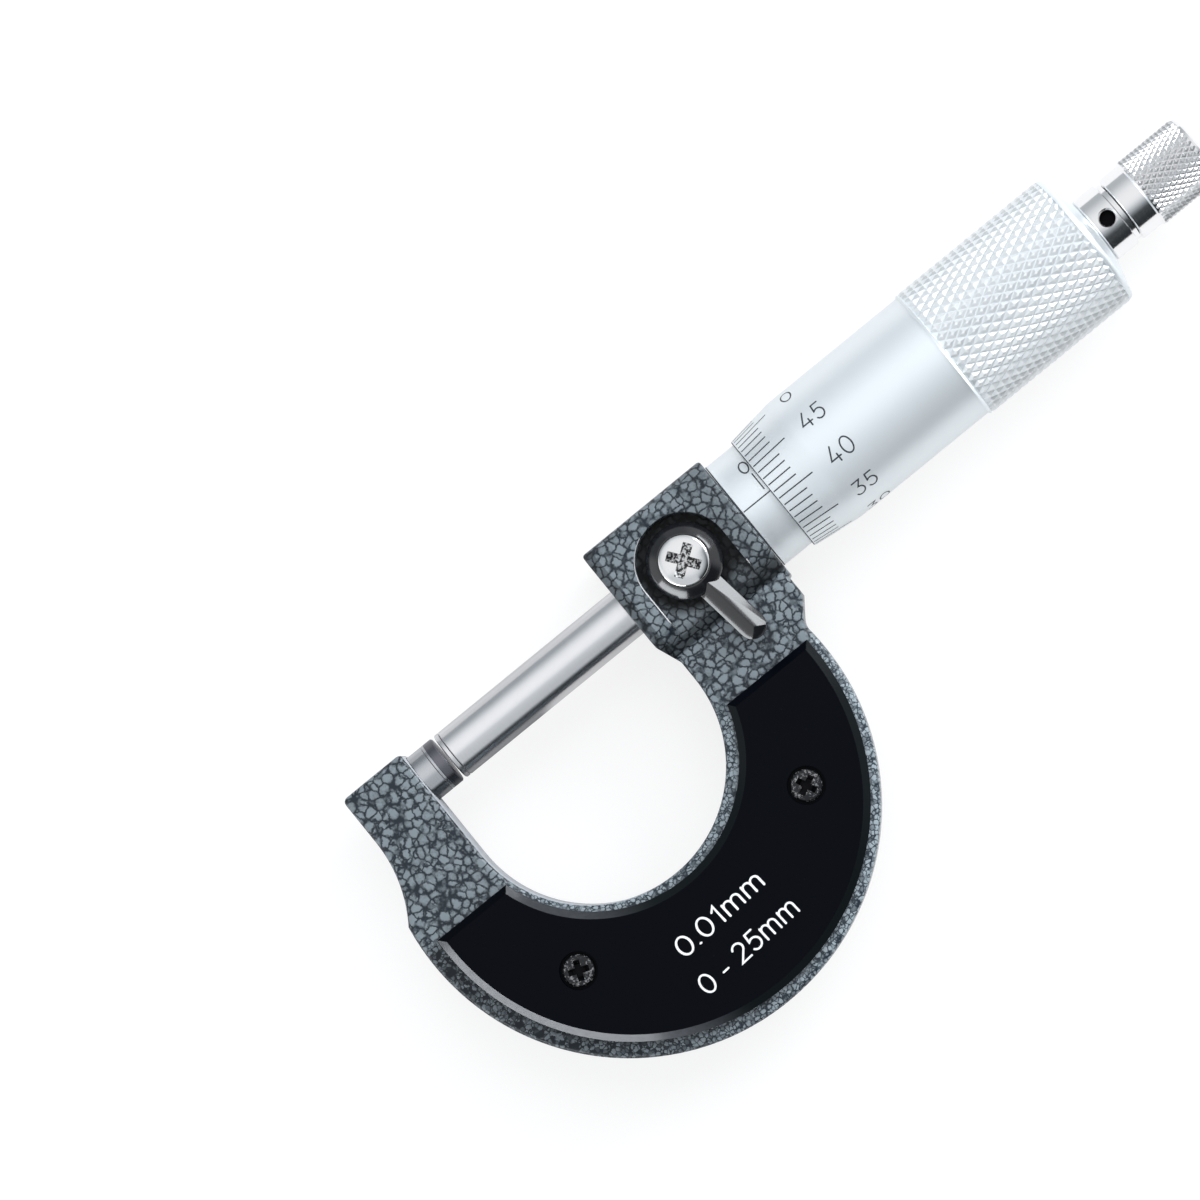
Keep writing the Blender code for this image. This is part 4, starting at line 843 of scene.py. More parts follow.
def make_finishes():
    """All materials of the pieces, by the names that the operators use."""
    finish = settings().finish
    # name, colour, roughness and its spread, rings, share of grain, height, tone, metallic
    metals = {
        # bare edge steel: wear on the boss's end and the pocket's rim, partly a painted highlight
        # on the rim
        "worn": ("worn_edge", finish.steel, 0.32, 0.1, 4000.0, 0.8, 0.2),
        "satin": ("satin_chrome", finish.satin, 0.45, 0.05, 12000.0, 0.8, 0.10, 0.015, 0.68),
        "knurl": ("knurled_chrome", finish.knurl, 0.42, 0.08, 9000.0, 0.8, 0.5, 0.04, 0.66),
        "knob_knurl": ("knob_chrome", finish.bright, 0.30, 0.08, 9000.0, 0.8, 0.4, 0.10),
        "bright": ("bright_chrome", finish.bright, 0.12, 0.06, 7000.0, 0.3, 0.12, 0.02),
        "steel": ("ground_steel", finish.steel, 0.20, 0.14, 5200.0, 0.4, 0.5, 0.05),
        "anvil": ("anvil_steel", finish.anvil, 0.18, 0.12, 5200.0, 0.5, 0.5, 0.06),
        "carbide": ("carbide", finish.carbide, 0.28, 0.08, 8000.0, 0.6, 0.2, 0.05),
        "face": ("lapped_face", finish.steel, 0.26, 0.08, 8000.0, 0.6, 0.2, 0.10),
        "plain_steel": ("plain_steel", finish.anvil, 0.34, 0.1, 3000.0, 0.5, 0.4),
        "brass": ("brass", finish.brass, 0.3, 0.1, 5000.0, 0.5, 0.3),
    }
    return {
        **{look: turned_material(*values) for look, values in metals.items()},
        "paint": paint_material(),
        "plate": black_material("black_moulding", finish.plate, 0.28, 0.05, (0.006, 0.007, 0.010),
                                1300.0, 0.1, 0.04),
        "plate_edge": edge_material(),
        "screw_black": black_material("blackened_steel", finish.black, 0.36, 0.4,
                                      (0.22, 0.22, 0.225), 2600.0, 0.62, 0.6, Metallic=0.2),
        # painted shade: near-black for the plate screws' cross recesses and the ratchet cap's
        # spanner hole
        "recess_shade": black_material("painted_recess_shade", (0.003, 0.003, 0.004), 0.5, 0.08,
                                 (0.10, 0.10, 0.10), 3600.0, 0.15, 0.8),
        # painted shade with pale specks in the dome screw's cross recess
        "rough_recess": black_material("painted_shade_rough_recess", (0.02, 0.02, 0.022), 0.3, 0.5,
                                       (0.60, 0.60, 0.60), 2600.0, 0.85, 1.0, Metallic=0.6),
        "lever": black_material("black_paint", finish.black, 0.17, 0.45, (0.03, 0.03, 0.034),
                                1600.0, 0.15, 0.12, Coat_Weight=0.6, Coat_Roughness=0.1),
        # the ink also colours the painted shadow lines at the thimble's lip and at the boss's end
        "ink": ink_material("ink", finish.ink),
        "white": ink_material("white_ink", finish.white),
    }


# ---------------------------------------------------------------- figures

# width and strokes of an engraver's figures and of the few signs on the plate, one unit high
FIGURES = {
    "0": (0.62, [ellipse(0.31, 0.5, 0.31, 0.5, 0, 360, 28)]),
    "1": (0.30, [[(0.04, 0.78), (0.24, 1.0), (0.24, 0.0)]]),
    "2": (0.58, [ellipse(0.29, 0.72, 0.27, 0.28, 160, -35) + [(0.02, 0.0), (0.58, 0.0)]]),
    "3": (0.56, [[(0.04, 1.0), (0.52, 1.0), (0.26, 0.60)]
                 + ellipse(0.26, 0.30, 0.29, 0.30, 80, -150)]),
    "4": (0.64, [[(0.38, 1.0), (0.0, 0.26), (0.64, 0.26)], [(0.48, 0.46), (0.48, 0.0)]]),
    "5": (0.56, [[(0.50, 1.0), (0.10, 1.0), (0.06, 0.56)]
                 + ellipse(0.26, 0.32, 0.29, 0.32, 130, -145)]),
    "m": (0.86, [[(0.0, 0.0), (0.0, 0.70)],
                 ellipse(0.21, 0.46, 0.205, 0.24, 170, 0) + [(0.415, 0.0)],
                 ellipse(0.63, 0.46, 0.205, 0.24, 170, 0) + [(0.835, 0.0)]]),
    ".": (0.05, [[(0.0, 0.02), (0.04, 0.02)]]),
    "-": (0.32, [[(0.0, 0.34), (0.30, 0.34)]]),
    " ": (0.10, []),
}


def ribbon(work, points, width):
    """A flat band of this width along a line, with mitred bends and round ends."""
    loop = (Vector(points[0]) - Vector(points[-1])).length < width * 0.2
    line = [Vector(p) for p in (points[:-1] if loop else points)]
    total = len(line)
    sides = []
    for i, point in enumerate(line):
        directions = []
        if i or loop:
            directions.append((point - line[i - 1]).normalized())
        if i < total - 1 or loop:
            directions.append((line[(i + 1) % total] - point).normalized())
        mean = sum(directions, Vector((0, 0))).normalized()
        aside = Vector((-mean.y, mean.x))
        reach = width / 2 / max(0.45, aside.dot(Vector((-directions[0].y, directions[0].x))))
        sides.append((work.verts.new((*(point - aside * reach), 0)),
                      work.verts.new((*(point + aside * reach), 0)), aside))
    for (a, b, _), (c, d, _) in zip(sides, sides[1:] + (sides[:1] if loop else [])):
        work.faces.new((a, c, d, b))
    if loop:
        return
    for (a, b, aside), point, turn in ((sides[0], line[0], 1), (sides[-1], line[-1], -1)):
        tip = [b if turn > 0 else a]
        for step in range(1, 5):
            angle = math.pi * step / 5
            offset = turn * aside * math.cos(angle) * width / 2
            out = turn * Vector((-aside.y, aside.x)) * math.sin(angle) * width / 2
            tip.append(work.verts.new((*(point + offset + out), 0)))
        tip.append(a if turn > 0 else b)
        work.faces.new(tip)


def sliced(mesh, step):
    """Cuts a flat mesh along y in steps, so it can bend round a cylinder."""
    with editing(mesh) as work:
        low = min((v.co.y for v in work.verts), default=0)
        high = max((v.co.y for v in work.verts), default=0)
        for i in range(1, math.ceil((high - low) / step)):
            everything = work.verts[:] + work.edges[:] + work.faces[:]
            bmesh.ops.bisect_plane(
                work, geom=everything, plane_co=(0, low + i * step, 0), plane_no=(0, 1, 0))
    return mesh


def figure_mesh(text, height, line, lift, spacing=0.26):
    """Flat figures and letters made of strokes, from x = 0, centred on y = 0."""
    mesh = bpy.data.meshes.new("figure")
    with editing(mesh) as work:
        x = 0.0
        for letter in text:
            width, strokes = FIGURES[letter]
            for level, stroke in enumerate(strokes):
                before = len(work.verts)
                ribbon(work, [((x + px) * height, (py - 0.5) * height) for px, py in stroke], line)
                work.verts.ensure_lookup_table()
                for vertex in work.verts[before:]:
                    vertex.co.z = lift + level * STROKE_LIFT
            x += width + spacing
        work.normal_update()
        for face in work.faces:
            if face.normal.z < 0:
                face.normal_flip()
    return sliced(mesh, BEND_STEP)


def strip_mesh(x0, x1, y0, y1, lift):
    """A flat line, cut across often enough to bend."""
    steps = max(1, math.ceil(abs(y1 - y0) / BEND_STEP))
    mesh = bpy.data.meshes.new("strip")
    with editing(mesh) as work:
        levels = [y0 + (y1 - y0) * i / steps for i in range(steps + 1)]
        rows = [[work.verts.new((x, y, lift)) for x in (x0, x1)] for y in levels]
        for (a, b), (c, d) in zip(rows, rows[1:]):
            work.faces.new((a, b, d, c))
    return mesh


def printed_text(text, plate, width, place, lift):
    """Flat lettering on a plate, scaled to its height and width and centred on its place."""
    mesh = figure_mesh(text, plate.text_height - plate.text_line, plate.text_line, 0, 0.25)
    low = [min(v.co[i] for v in mesh.vertices) for i in range(2)]
    high = [max(v.co[i] for v in mesh.vertices) for i in range(2)]
    mesh.transform(Matrix.Translation((-(low[0] + high[0]) / 2, -(low[1] + high[1]) / 2, 0)))
    mesh.transform(Matrix.Diagonal((width / (high[0] - low[0]), 1, 1, 1)))
    mesh.transform(Matrix.Translation((*place, lift)) @ Matrix.Rotation(plate.text_tilt, 4, 'Z'))
    return mesh


def diamond_mesh(length_along, width_around, height, top):
    """One low pyramid of a diamond knurl, with a blunt top and no base."""
    mesh = bpy.data.meshes.new("diamond")
    with editing(mesh) as work:
        ends = [(length_along / 2, 0), (0, width_around / 2), (-length_along / 2, 0),
                (0, -width_around / 2)]
        base = [work.verts.new((x, y, -KNURL_SINK)) for x, y in ends]
        crest = [work.verts.new((x * top, y * top, height)) for x, y in ends]
        for i in range(4):
            j = (i + 1) % 4
            work.faces.new((base[i], base[j], crest[j], crest[i]))
        work.faces.new(crest)
    return mesh


def knurled(sizes, start, step, around, radius, top, look):
    """Staggered diamonds in rows and columns on a round surface, from start on."""
    columns = sizes.knurl_columns
    diamond = diamond_mesh(2 * step, around / columns, sizes.knurl_height, top)
    return repeated(
        diamond, look, columns=columns, column_turn=2 * math.pi / columns, rows=sizes.knurl_rows,
        row_step=step, stagger=0.5, start_along=start, radius=radius)


# ---------------------------------------------------------------- frame

def throat_centre():
    sizes = settings().frame
    return sizes.throat_r - sizes.reach, -sizes.throat_depth


def bow_centre():
    sizes = settings().frame
    x, y = throat_centre()
    return x + sizes.bow_shift, y - sizes.bow_drop


def boss_span():
    """Where the boss starts and ends along the axis."""
    sizes = settings().frame
    start = 2 * sizes.throat_r - sizes.reach - sizes.overhang
    return start, start + sizes.boss_length


def web_outline(sizes):
    left = -sizes.reach - sizes.end_width
    throat_x, throat_y = throat_centre()
    right = boss_span()[1] - sizes.end_step
    bow_x, bow_y = bow_centre()
    waist_x, waist_y = left - sizes.waist_r, -sizes.end_drop
    meet = circles_meet(waist_x, waist_y, sizes.waist_r, bow_x, bow_y, sizes.bow_r)
    shoulder = 360 + math.degrees(math.asin((-sizes.shoulder_meet - bow_y) / sizes.bow_r))
    return (
        [(-sizes.reach, sizes.end_top), (left, sizes.end_top)]
        + arc(waist_x, waist_y, sizes.waist_r, 0, angle_of(*meet, waist_x, waist_y) - 360)[:-1]
        + arc(bow_x, bow_y, sizes.bow_r, angle_of(*meet, bow_x, bow_y), 270)[:-1]
        + arc(bow_x, bow_y, sizes.bow_r, 270, shoulder)
        + [(right, -sizes.shoulder_drop), (right, -sizes.face_drop)]
        + [(throat_x + sizes.throat_r, -sizes.face_drop)]
        + arc(throat_x, throat_y, sizes.throat_r, 360, 180)
    )


def boss_outline(sizes):
    """The boss's section in (y, z): flat front and back, sloped down to the web."""
    half, web = sizes.boss_half, sizes.web
    slope = (half - web) / (sizes.slope_drop - sizes.face_drop)
    side = [
        (sizes.boss_top, half - sizes.boss_chamfer), (sizes.boss_top - sizes.boss_chamfer, half),
        (-sizes.face_drop, half),
        (-sizes.slope_drop - sizes.slope_root, web - slope * sizes.slope_root),
    ]
    return side + [(y, -z) for y, z in reversed(side)]


def wear_pocket_rim(mesh, sizes):
    """A narrow bevel along the rim of the lock's pocket, bare at its left and its lower end: bare
    metal for wear, kept to where the light catches the rim, so partly a painted highlight.
    """
    half = sizes.pocket_width / 2
    floor, shortest, off_line = sizes.pocket_z + 0.0003, 0.00002, 0.00003

    def off_rim(point):
        x, y = point.x - LOCK.x, point.y
        return abs(math.hypot(x, y) - half) if y > 0 else abs(abs(x) - half)

    def on_rim(edge):
        if len(edge.link_faces) != 2 or min(v.co.z for v in edge.verts) < floor:
            return False
        if max(off_rim(v.co) for v in edge.verts) > off_line or edge.calc_length() < shortest:
            return False
        low, high = sorted(face.normal.z for face in edge.link_faces)
        return low < 0.2 and high > 0.3

    with editing(mesh) as work:
        result = bmesh.ops.bevel(
            work, geom=[edge for edge in work.edges if on_rim(edge)], offset=sizes.worn_edge,
            segments=2, affect='EDGES', profile=0.5)
        for face in result["faces"]:
            middle = face.calc_center_median()
            # bare only where the light catches the rim: partly wear, partly a painted highlight
            face.material_index = int(middle.x < LOCK.x - 0.42 * half or middle.y < -0.0044)


def frame_mesh():
    """The casting: web and boss in one, with the cut corner, the holes and the lock's pocket."""
    sizes, plate = settings().frame, settings().plate
    start, end = boss_span()
    web = bevelled(solid(web_outline(sizes), -sizes.web, sizes.web), sizes.edge, 4)
    boss = bevelled(solid(boss_outline(sizes), 0, sizes.boss_length), sizes.boss_edge, 3)
    boss = moved(boss, (start, 0, 0), (math.pi / 2, 0, math.pi / 2))
    low, high = -sizes.slope_drop - 0.002, sizes.corner_cut - sizes.slope_drop - 0.0004
    beyond = sizes.boss_half + PAST
    corner = solid([(start - PAST, low), (start + sizes.corner_slant * 1.5, low),
                    (start + sizes.corner_slant, high - sizes.corner_cut), (start, high),
                    (start - PAST, high)], -beyond, beyond)
    mesh = combined(web, combined(boss, corner), 'UNION')
    seat = span("screw_sleeve")[0].x - GAP
    anvil_low, anvil_high = span("anvil")
    half, pocket_end, anvil_hole, spindle_hole = sizes.pocket_width / 2, 0.011, 0.008, 0.014
    pocket = arc(0, 0, half, 0, 180) + [(-half, -pocket_end), (half, -pocket_end)]
    cuts = [
        (along_x(post(anvil_high.y + GAP, 0, anvil_hole)), anvil_low.x - GAP, 0),
        (along_x(post(sizes.spindle_hole, -PAST, spindle_hole)), start, 0),
        (along_x(post(sizes.sleeve_hole, 0, end - seat + PAST)), seat, 0),
        (solid(pocket, sizes.pocket_z, beyond), LOCK.x, 0),
        (post(sizes.stud_hole, 0, sizes.boss_half), LOCK.x, 0),
    ]
    cuts += [(post(plate.screw_d / 4 + GAP, -sizes.boss_half, sizes.boss_half), x, y)
             for x, y in screw_places()]
    for cut, x, y in cuts:
        mesh = combined(mesh, moved(cut, (x, y, 0)))
    wear_pocket_rim(mesh, sizes)
    for polygon in mesh.polygons:
        if polygon.normal.x > 0.98 and polygon.center.x > end - sizes.end_step * 0.9:
            polygon.material_index = 1
    return smooth(mesh, 32)


class MICROMETER_OT_frame(Operator):
    """Cast frame with its boss, holes and the lock's pocket"""
    bl_idname = "micrometer.frame"
    bl_label = "Frame"

    def execute(self, context):
        finished("frame_casting", frame_mesh(), "frame_set", ("paint", "worn"),
                 ("frame",))
        return {'FINISHED'}


# ---------------------------------------------------------------- grip plates

def screw_places():
    """Places of the two screws of a plate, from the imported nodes."""
    places = []
    for side in ("left", "right"):
        low, high = span("front_screw_" + side)
        places.append(((low.x + high.x) / 2, (low.y + high.y) / 2))
    return places


def plate_outline(sizes, plate):
    """Two arcs that run along the bow's edge and the throat, cut off level at the top."""
    bow_x, bow_y = bow_centre()
    throat_x, throat_y = throat_centre()
    outer, inner = sizes.bow_r - plate.margin, sizes.throat_r + plate.inner_margin
    low = math.degrees(math.asin((-plate.top_drop - bow_y) / outer))
    high = math.degrees(math.asin((-plate.top_drop - throat_y) / inner))
    return (arc(bow_x + plate.shift, bow_y, outer, 180 - low, 360 + low)
            + arc(throat_x + plate.shift, throat_y, inner, 360 + high, 180 - high))


def bevel_rim(mesh, height, width):
    """A flat bevel round the plate's outer face, lower than it is wide."""
    level = 0.00001
    with editing(mesh) as work:
        edges = [e for e in work.edges if all(abs(v.co.z - height) < level for v in e.verts)
                 and e.calc_face_angle(0) > 1.0]
        bmesh.ops.bevel(work, geom=edges, offset=width, segments=1, affect='EDGES')
        for vertex in work.verts:
            if abs(vertex.co.z - height + width) < level:
                vertex.co.z += width * 0.2


def plate_face():
    """Height of the front plate's face."""
    return settings().frame.web + GAP + settings().plate.thickness


def plate_mesh():
    """The front plate, at the height where it lies on the web."""
    sizes, plate = settings().frame, settings().plate
    face = plate_face()
    mesh = solid(plate_outline(sizes, plate), sizes.web + GAP, face)
    bevel_rim(mesh, face, plate.bevel)
    for x, y in screw_places():
        for radius, start in ((SHANK_R + GAP, 0), (plate.counterbore / 2, face - plate.screw_sink)):
            mesh = combined(mesh, moved(post(radius, start, face + PAST, 64), (x, y, 0)))
    mesh = smooth(bevelled(mesh, plate.edge, 2, 30), 25)
    return second_finish(mesh, lambda middle, normal: 0.15 < normal.z < 0.95 and (
        normal.y < 0.6 or middle.y < -plate.top_drop - 0.003))


SHANK_R, SHANK_LENGTH = 0.001, 0.0032


def screw_mesh(plate):
    """A plate screw with a cross recess, its head's underside at z = 0."""
    radius, top = plate.screw_d / 2, plate.screw_head
    profile = [
        (-SHANK_LENGTH, 0), (-SHANK_LENGTH, SHANK_R), (0, SHANK_R), (0, radius),
        (top - 0.00035, radius), (top - 0.00012, radius - 0.00015), (top, radius - 0.0005),
        (top, 0)]
    return smooth(with_cross(upright(profile, 48), plate.screw_d * 0.66, 0.00078, top, 0.0007))


def with_cross(mesh, length_across, width, top, depth):
    """Cuts a cross recess with sloped ends into a screw's head."""
    for turn in (0, math.pi / 2):
        half, foot = length_across / 2, length_across / 3.4
        side = [(-half, 0), (-foot, -depth), (foot, -depth), (half, 0), (half, PAST), (-half, PAST)]
        bar = moved(solid(side, -width / 2, width / 2), turn=(math.pi / 2, 0, 0))
        mesh = combined(mesh, moved(bar, (0, 0, top), (0, 0, turn)))
    return combined(mesh, post(width * 0.72, top - depth, top + PAST, 12))


def screw_points(plate):
    """A point with its own turn for each of the four plate screws."""
    floor = plate_face() + GAP - plate.screw_sink
    places, turns = [], []
    for (x, y), front, rear in zip(screw_places(), (68, 23), (15, 50)):
        places += [(x, y, floor), (x, y, -floor)]
        turns += [(0, 0, math.radians(front)), (math.pi, 0, math.radians(rear))]
    mesh = bpy.data.meshes.new("screw_points")
    mesh.from_pydata(places, [], [])
    attribute = mesh.attributes.new("turn", 'FLOAT_VECTOR', 'POINT')
    for value, turn in zip(attribute.data, turns):
        value.vector = turn
    return mesh


class MICROMETER_OT_plates(Operator):
    """Black grip plates on both sides of the bow, with their screws and markings"""
    bl_idname = "micrometer.plates"
    bl_label = "Grip plates"

    def execute(self, context):
        plate = settings().plate
        front = plate_mesh()
        rear = front.copy()
        rear.transform(Matrix.Diagonal((1, 1, -1, 1)))
        rear.flip_normals()
        for side, mesh in (("front", front), ("rear", rear)):
            finished(f"{side}_grip_plate", mesh, "frame_set",
                     ("plate", "plate_edge"), (f"{side}_plate",))
        screws = grown(screws_on_points(), screw_points(plate), screw_mesh(plate),
                       {"Material": FINISH["screw_black"]})
        face = plate_face() + GAP - plate.screw_sink + plate.screw_head

        def in_recess(middle, normal):
            reach = min(math.hypot(middle.x - x, middle.y - y) for x, y in screw_places())
            return reach < plate.screw_d * 0.34 and 0.00008 < face - abs(middle.z) < 0.0012

        # the cross recesses get the painted recess shade
        second_finish(screws, in_recess)
        nodes = [f"{side}_screw_{end}" for side in ("front", "rear") for end in ("left", "right")]
        finished("plate_screws", smooth(screws), "frame_set",
                 ("screw_black", "recess_shade"), nodes)
        lines = (("0.01mm", plate.text_width, (0.0142, -0.0358)),
                 ("0 - 25mm", plate.range_width, (0.0145, -0.0411)))
        texts = [printed_text(text, plate, width, place, plate_face() + 0.00001)
                 for text, width, place in lines]
        finished("plate_markings", joined(*texts), "frame_set", ("white",))
        return {'FINISHED'}


# ---------------------------------------------------------------- anvil, spindle and sleeve

class MICROMETER_OT_spindle(Operator):
    """Anvil, spindle and their carbide faces"""
    bl_idname = "micrometer.spindle"
    bl_label = "Anvil and spindle"

    def execute(self, context):
        low, high = span("anvil")
        r = high.y
        profile = [(low.x, 0), (low.x, r), (high.x, r), (high.x, 0)]
        finished("anvil_body", turned(profile), "frame_set", ("anvil",), ("anvil",))
        low, high = span("anvil_tip")
        c = 0.00016  # chamfer of the carbide faces
        braze = low.x + 2 * c
        profile = [(low.x, 0), (low.x, r), (braze - 0.00004, r), (braze, r - 0.00004),
                   (braze + 0.00004, r), (high.x - c, r), (high.x, r - c), (high.x, 0)]
        face = second_finish(turned(profile), lambda middle, normal: middle.x < braze)
        finished("anvil_face", face, "frame_set", ("carbide", "anvil"), ("anvil_tip",))
        low, high = span("spindle_tip")
        profile = [(low.x, 0), (low.x, r - c), (low.x + c, r), (high.x, r), (high.x, 0)]
        finished("spindle_face", turned(profile), "screw_travel", ("face",),
                 ("spindle_tip",))
        low, high = span("spindle")
        taper = high.y
        shank = 0.0021
        shoulder = high.x - 0.0075
        rear = span("thimble")[1].x - 0.0088
        thread_r, thread_start, thread_end = 0.0037, 0.0494, 0.0838
        profile = [
            (low.x, 0), (low.x, r - 0.0001), (low.x + 0.0001, r), (thread_start, r),
            (thread_start + 0.0004, thread_r), (thread_end, thread_r), (thread_end + 0.0004, r),
            (shoulder, r), (shoulder, taper), (high.x, taper - 0.0004), (high.x, shank),
            (rear, shank), (rear, 0)]
        finished("spindle_rod", turned(profile), "spindle_set", ("steel",), ("spindle",))
        return {'FINISHED'}


class MICROMETER_OT_sleeve(Operator):
    """Graduated sleeve with its datum line, ticks and figures"""
    bl_idname = "micrometer.sleeve"
    bl_label = "Graduated sleeve"

    def execute(self, context):
        scale = settings().scale
        low, high = span("graduated_sleeve")
        r, bore, c = scale.sleeve_r, 0.0063, 0.00012
        profile = [(low.x, bore), (low.x, r - c), (low.x + c, r), (high.x - c, r), (high.x, r - c),
                   (high.x, bore)]
        mesh = turned(profile, 160)
        hole = moved(post(0.0008, 0, r + PAST, 40), (low.x + 0.0021, 0, 0), (math.pi, 0, 0))
        finished("scale_sleeve", smooth(combined(mesh, hole)), "frame_set",
                 ("satin",), ("graduated_sleeve",))

        end = boss_span()[1]
        zero, half = end + scale.zero, scale.line / 2
        ink = dict(radius=r, look="ink")
        datum = strip_mesh(low.x + 0.0002, zero + 0.0262, -half, half, scale.ink)
        gap, tick, short = scale.tick_gap, scale.tick, scale.half_tick
        # painted shadow: a thin dark ring on the sleeve where it meets the boss's end
        contact_shadow_ring = turned([(end + 0.00004, r - 0.0002), (end + 0.00004, r + 0.00002),
                       (end + 0.0002, r + 0.00002), (end + 0.0002, r - 0.0002)], 160)
        ticks = strip_mesh(-half, half, gap, gap + tick, scale.ink)
        halves = strip_mesh(-half, half, -GAP - short, -GAP, scale.ink)
        marks = [
            contact_shadow_ring, repeated(datum, **ink),
            repeated(ticks, rows=26, row_step=MILLIMETRE, start_along=zero, **ink),
            repeated(halves, rows=25, row_step=MILLIMETRE, start_along=zero + MILLIMETRE / 2,
                     **ink),
        ]
        height = scale.sleeve_figure
        for value in range(0, 26, 5):
            figure = figure_mesh(str(value), height, scale.figure_line, scale.ink)
            middle = sum((v.co.x for v in figure.vertices)) / len(figure.vertices)
            figure.transform(Matrix.Translation((-middle, gap + tick + height * 0.78, 0)))
            marks.append(repeated(
                figure, start_along=zero - scale.figure_shift + value * MILLIMETRE, **ink))
        finished("sleeve_marks", joined(*marks), "frame_set", ("ink",))
        return {'FINISHED'}


# ---------------------------------------------------------------- thimble

def thimble_body(scale, start, end):
    """The thimble without its knurl, with where the knurl starts and ends."""
    plain = start + scale.bevel
    knurl = plain + scale.plain + scale.rise
    finish = knurl + scale.knurl
    r, top, valley = scale.plain_r, scale.plain_r + scale.knurl_height, scale.plain_r + 0.00004
    edge, bore = scale.bore_r + scale.lip, scale.bore_r
    hole, wall, taper_end = 0.0021, end - 0.0037, end - 0.0113
    profile = [
        (start, bore), (start, edge - scale.dark_edge), (start + scale.dark_edge, edge + 0.000012),
        (plain - 0.0004, r - 0.000052),
        (plain + 0.0004, r), (knurl - 0.0004, r), (knurl - 0.0001, top), (knurl, top),
        (knurl + 0.0001, valley), (finish - 0.00085, valley), (finish - 0.0008, top - 0.00006),
        (finish - 0.00055, top - 0.00008), (finish - 0.00025, r), (finish - 0.00006, r - 0.0003),
        (finish, r - 0.0007), (end - 0.00004, 0.00495), (end, 0.00485), (end, hole), (wall, hole),
        (wall, 0.0049), (taper_end, 0.0053), (taper_end, bore)]
    return turned(profile, 176), knurl, finish


class MICROMETER_OT_thimble(Operator):
    """Thimble with fifty lines, figures and a diamond knurl"""
    bl_idname = "micrometer.thimble"
    bl_label = "Thimble"

    def execute(self, context):
        scale = settings().scale
        low, high = span("thimble")
        body, knurl, finish = thimble_body(scale, low.x, high.x)
        # the lip's chamfer gets the ink colour as a painted shadow in the gap over the sleeve
        body = second_finish(body, lambda middle, normal: middle.x < low.x + scale.dark_edge)
        finished("thimble_body", body, "spindle_set", ("satin", "ink"),
                 ("thimble",))

        step = (finish - 0.0005 - knurl) / (scale.knurl_rows + 0.4)
        ground = scale.plain_r + KNURL_RISE
        diamonds = knurled(scale, knurl + step * 0.7, step, 2 * math.pi * ground, ground,
                           scale.knurl_top, "knurl")
        finished("thimble_knurl", diamonds, "spindle_set", ("knurl",))

        edge = scale.bore_r + scale.lip
        slope = (scale.plain_r - edge) / scale.bevel
        step, half = 2 * math.pi / scale.lines, scale.line / 2
        first = -scale.reading * step
        ink = dict(start_turn=first, radius=edge, slope=slope, start_along=low.x, look="ink")
        near, numbered = 0.00025, 5
        short, long = (strip_mesh(near, end, -half, half, scale.ink)
                       for end in (scale.short_line, scale.long_line))
        marks = [
            repeated(short, columns=scale.lines, column_turn=step, leave_out_every=numbered, **ink),
            repeated(long, columns=scale.lines // numbered, column_turn=numbered * step, **ink),
        ]
        for value in range(0, scale.lines, numbered):
            figure = figure_mesh(str(value), scale.figure_height, scale.figure_line, scale.ink)
            marks.append(repeated(
                figure, start_turn=first + value * step, radius=scale.plain_r,
                start_along=low.x + scale.figure_start, look="ink"))
        finished("thimble_marks", joined(*marks), "spindle_set", ("ink",))
        return {'FINISHED'}


# ---------------------------------------------------------------- ratchet

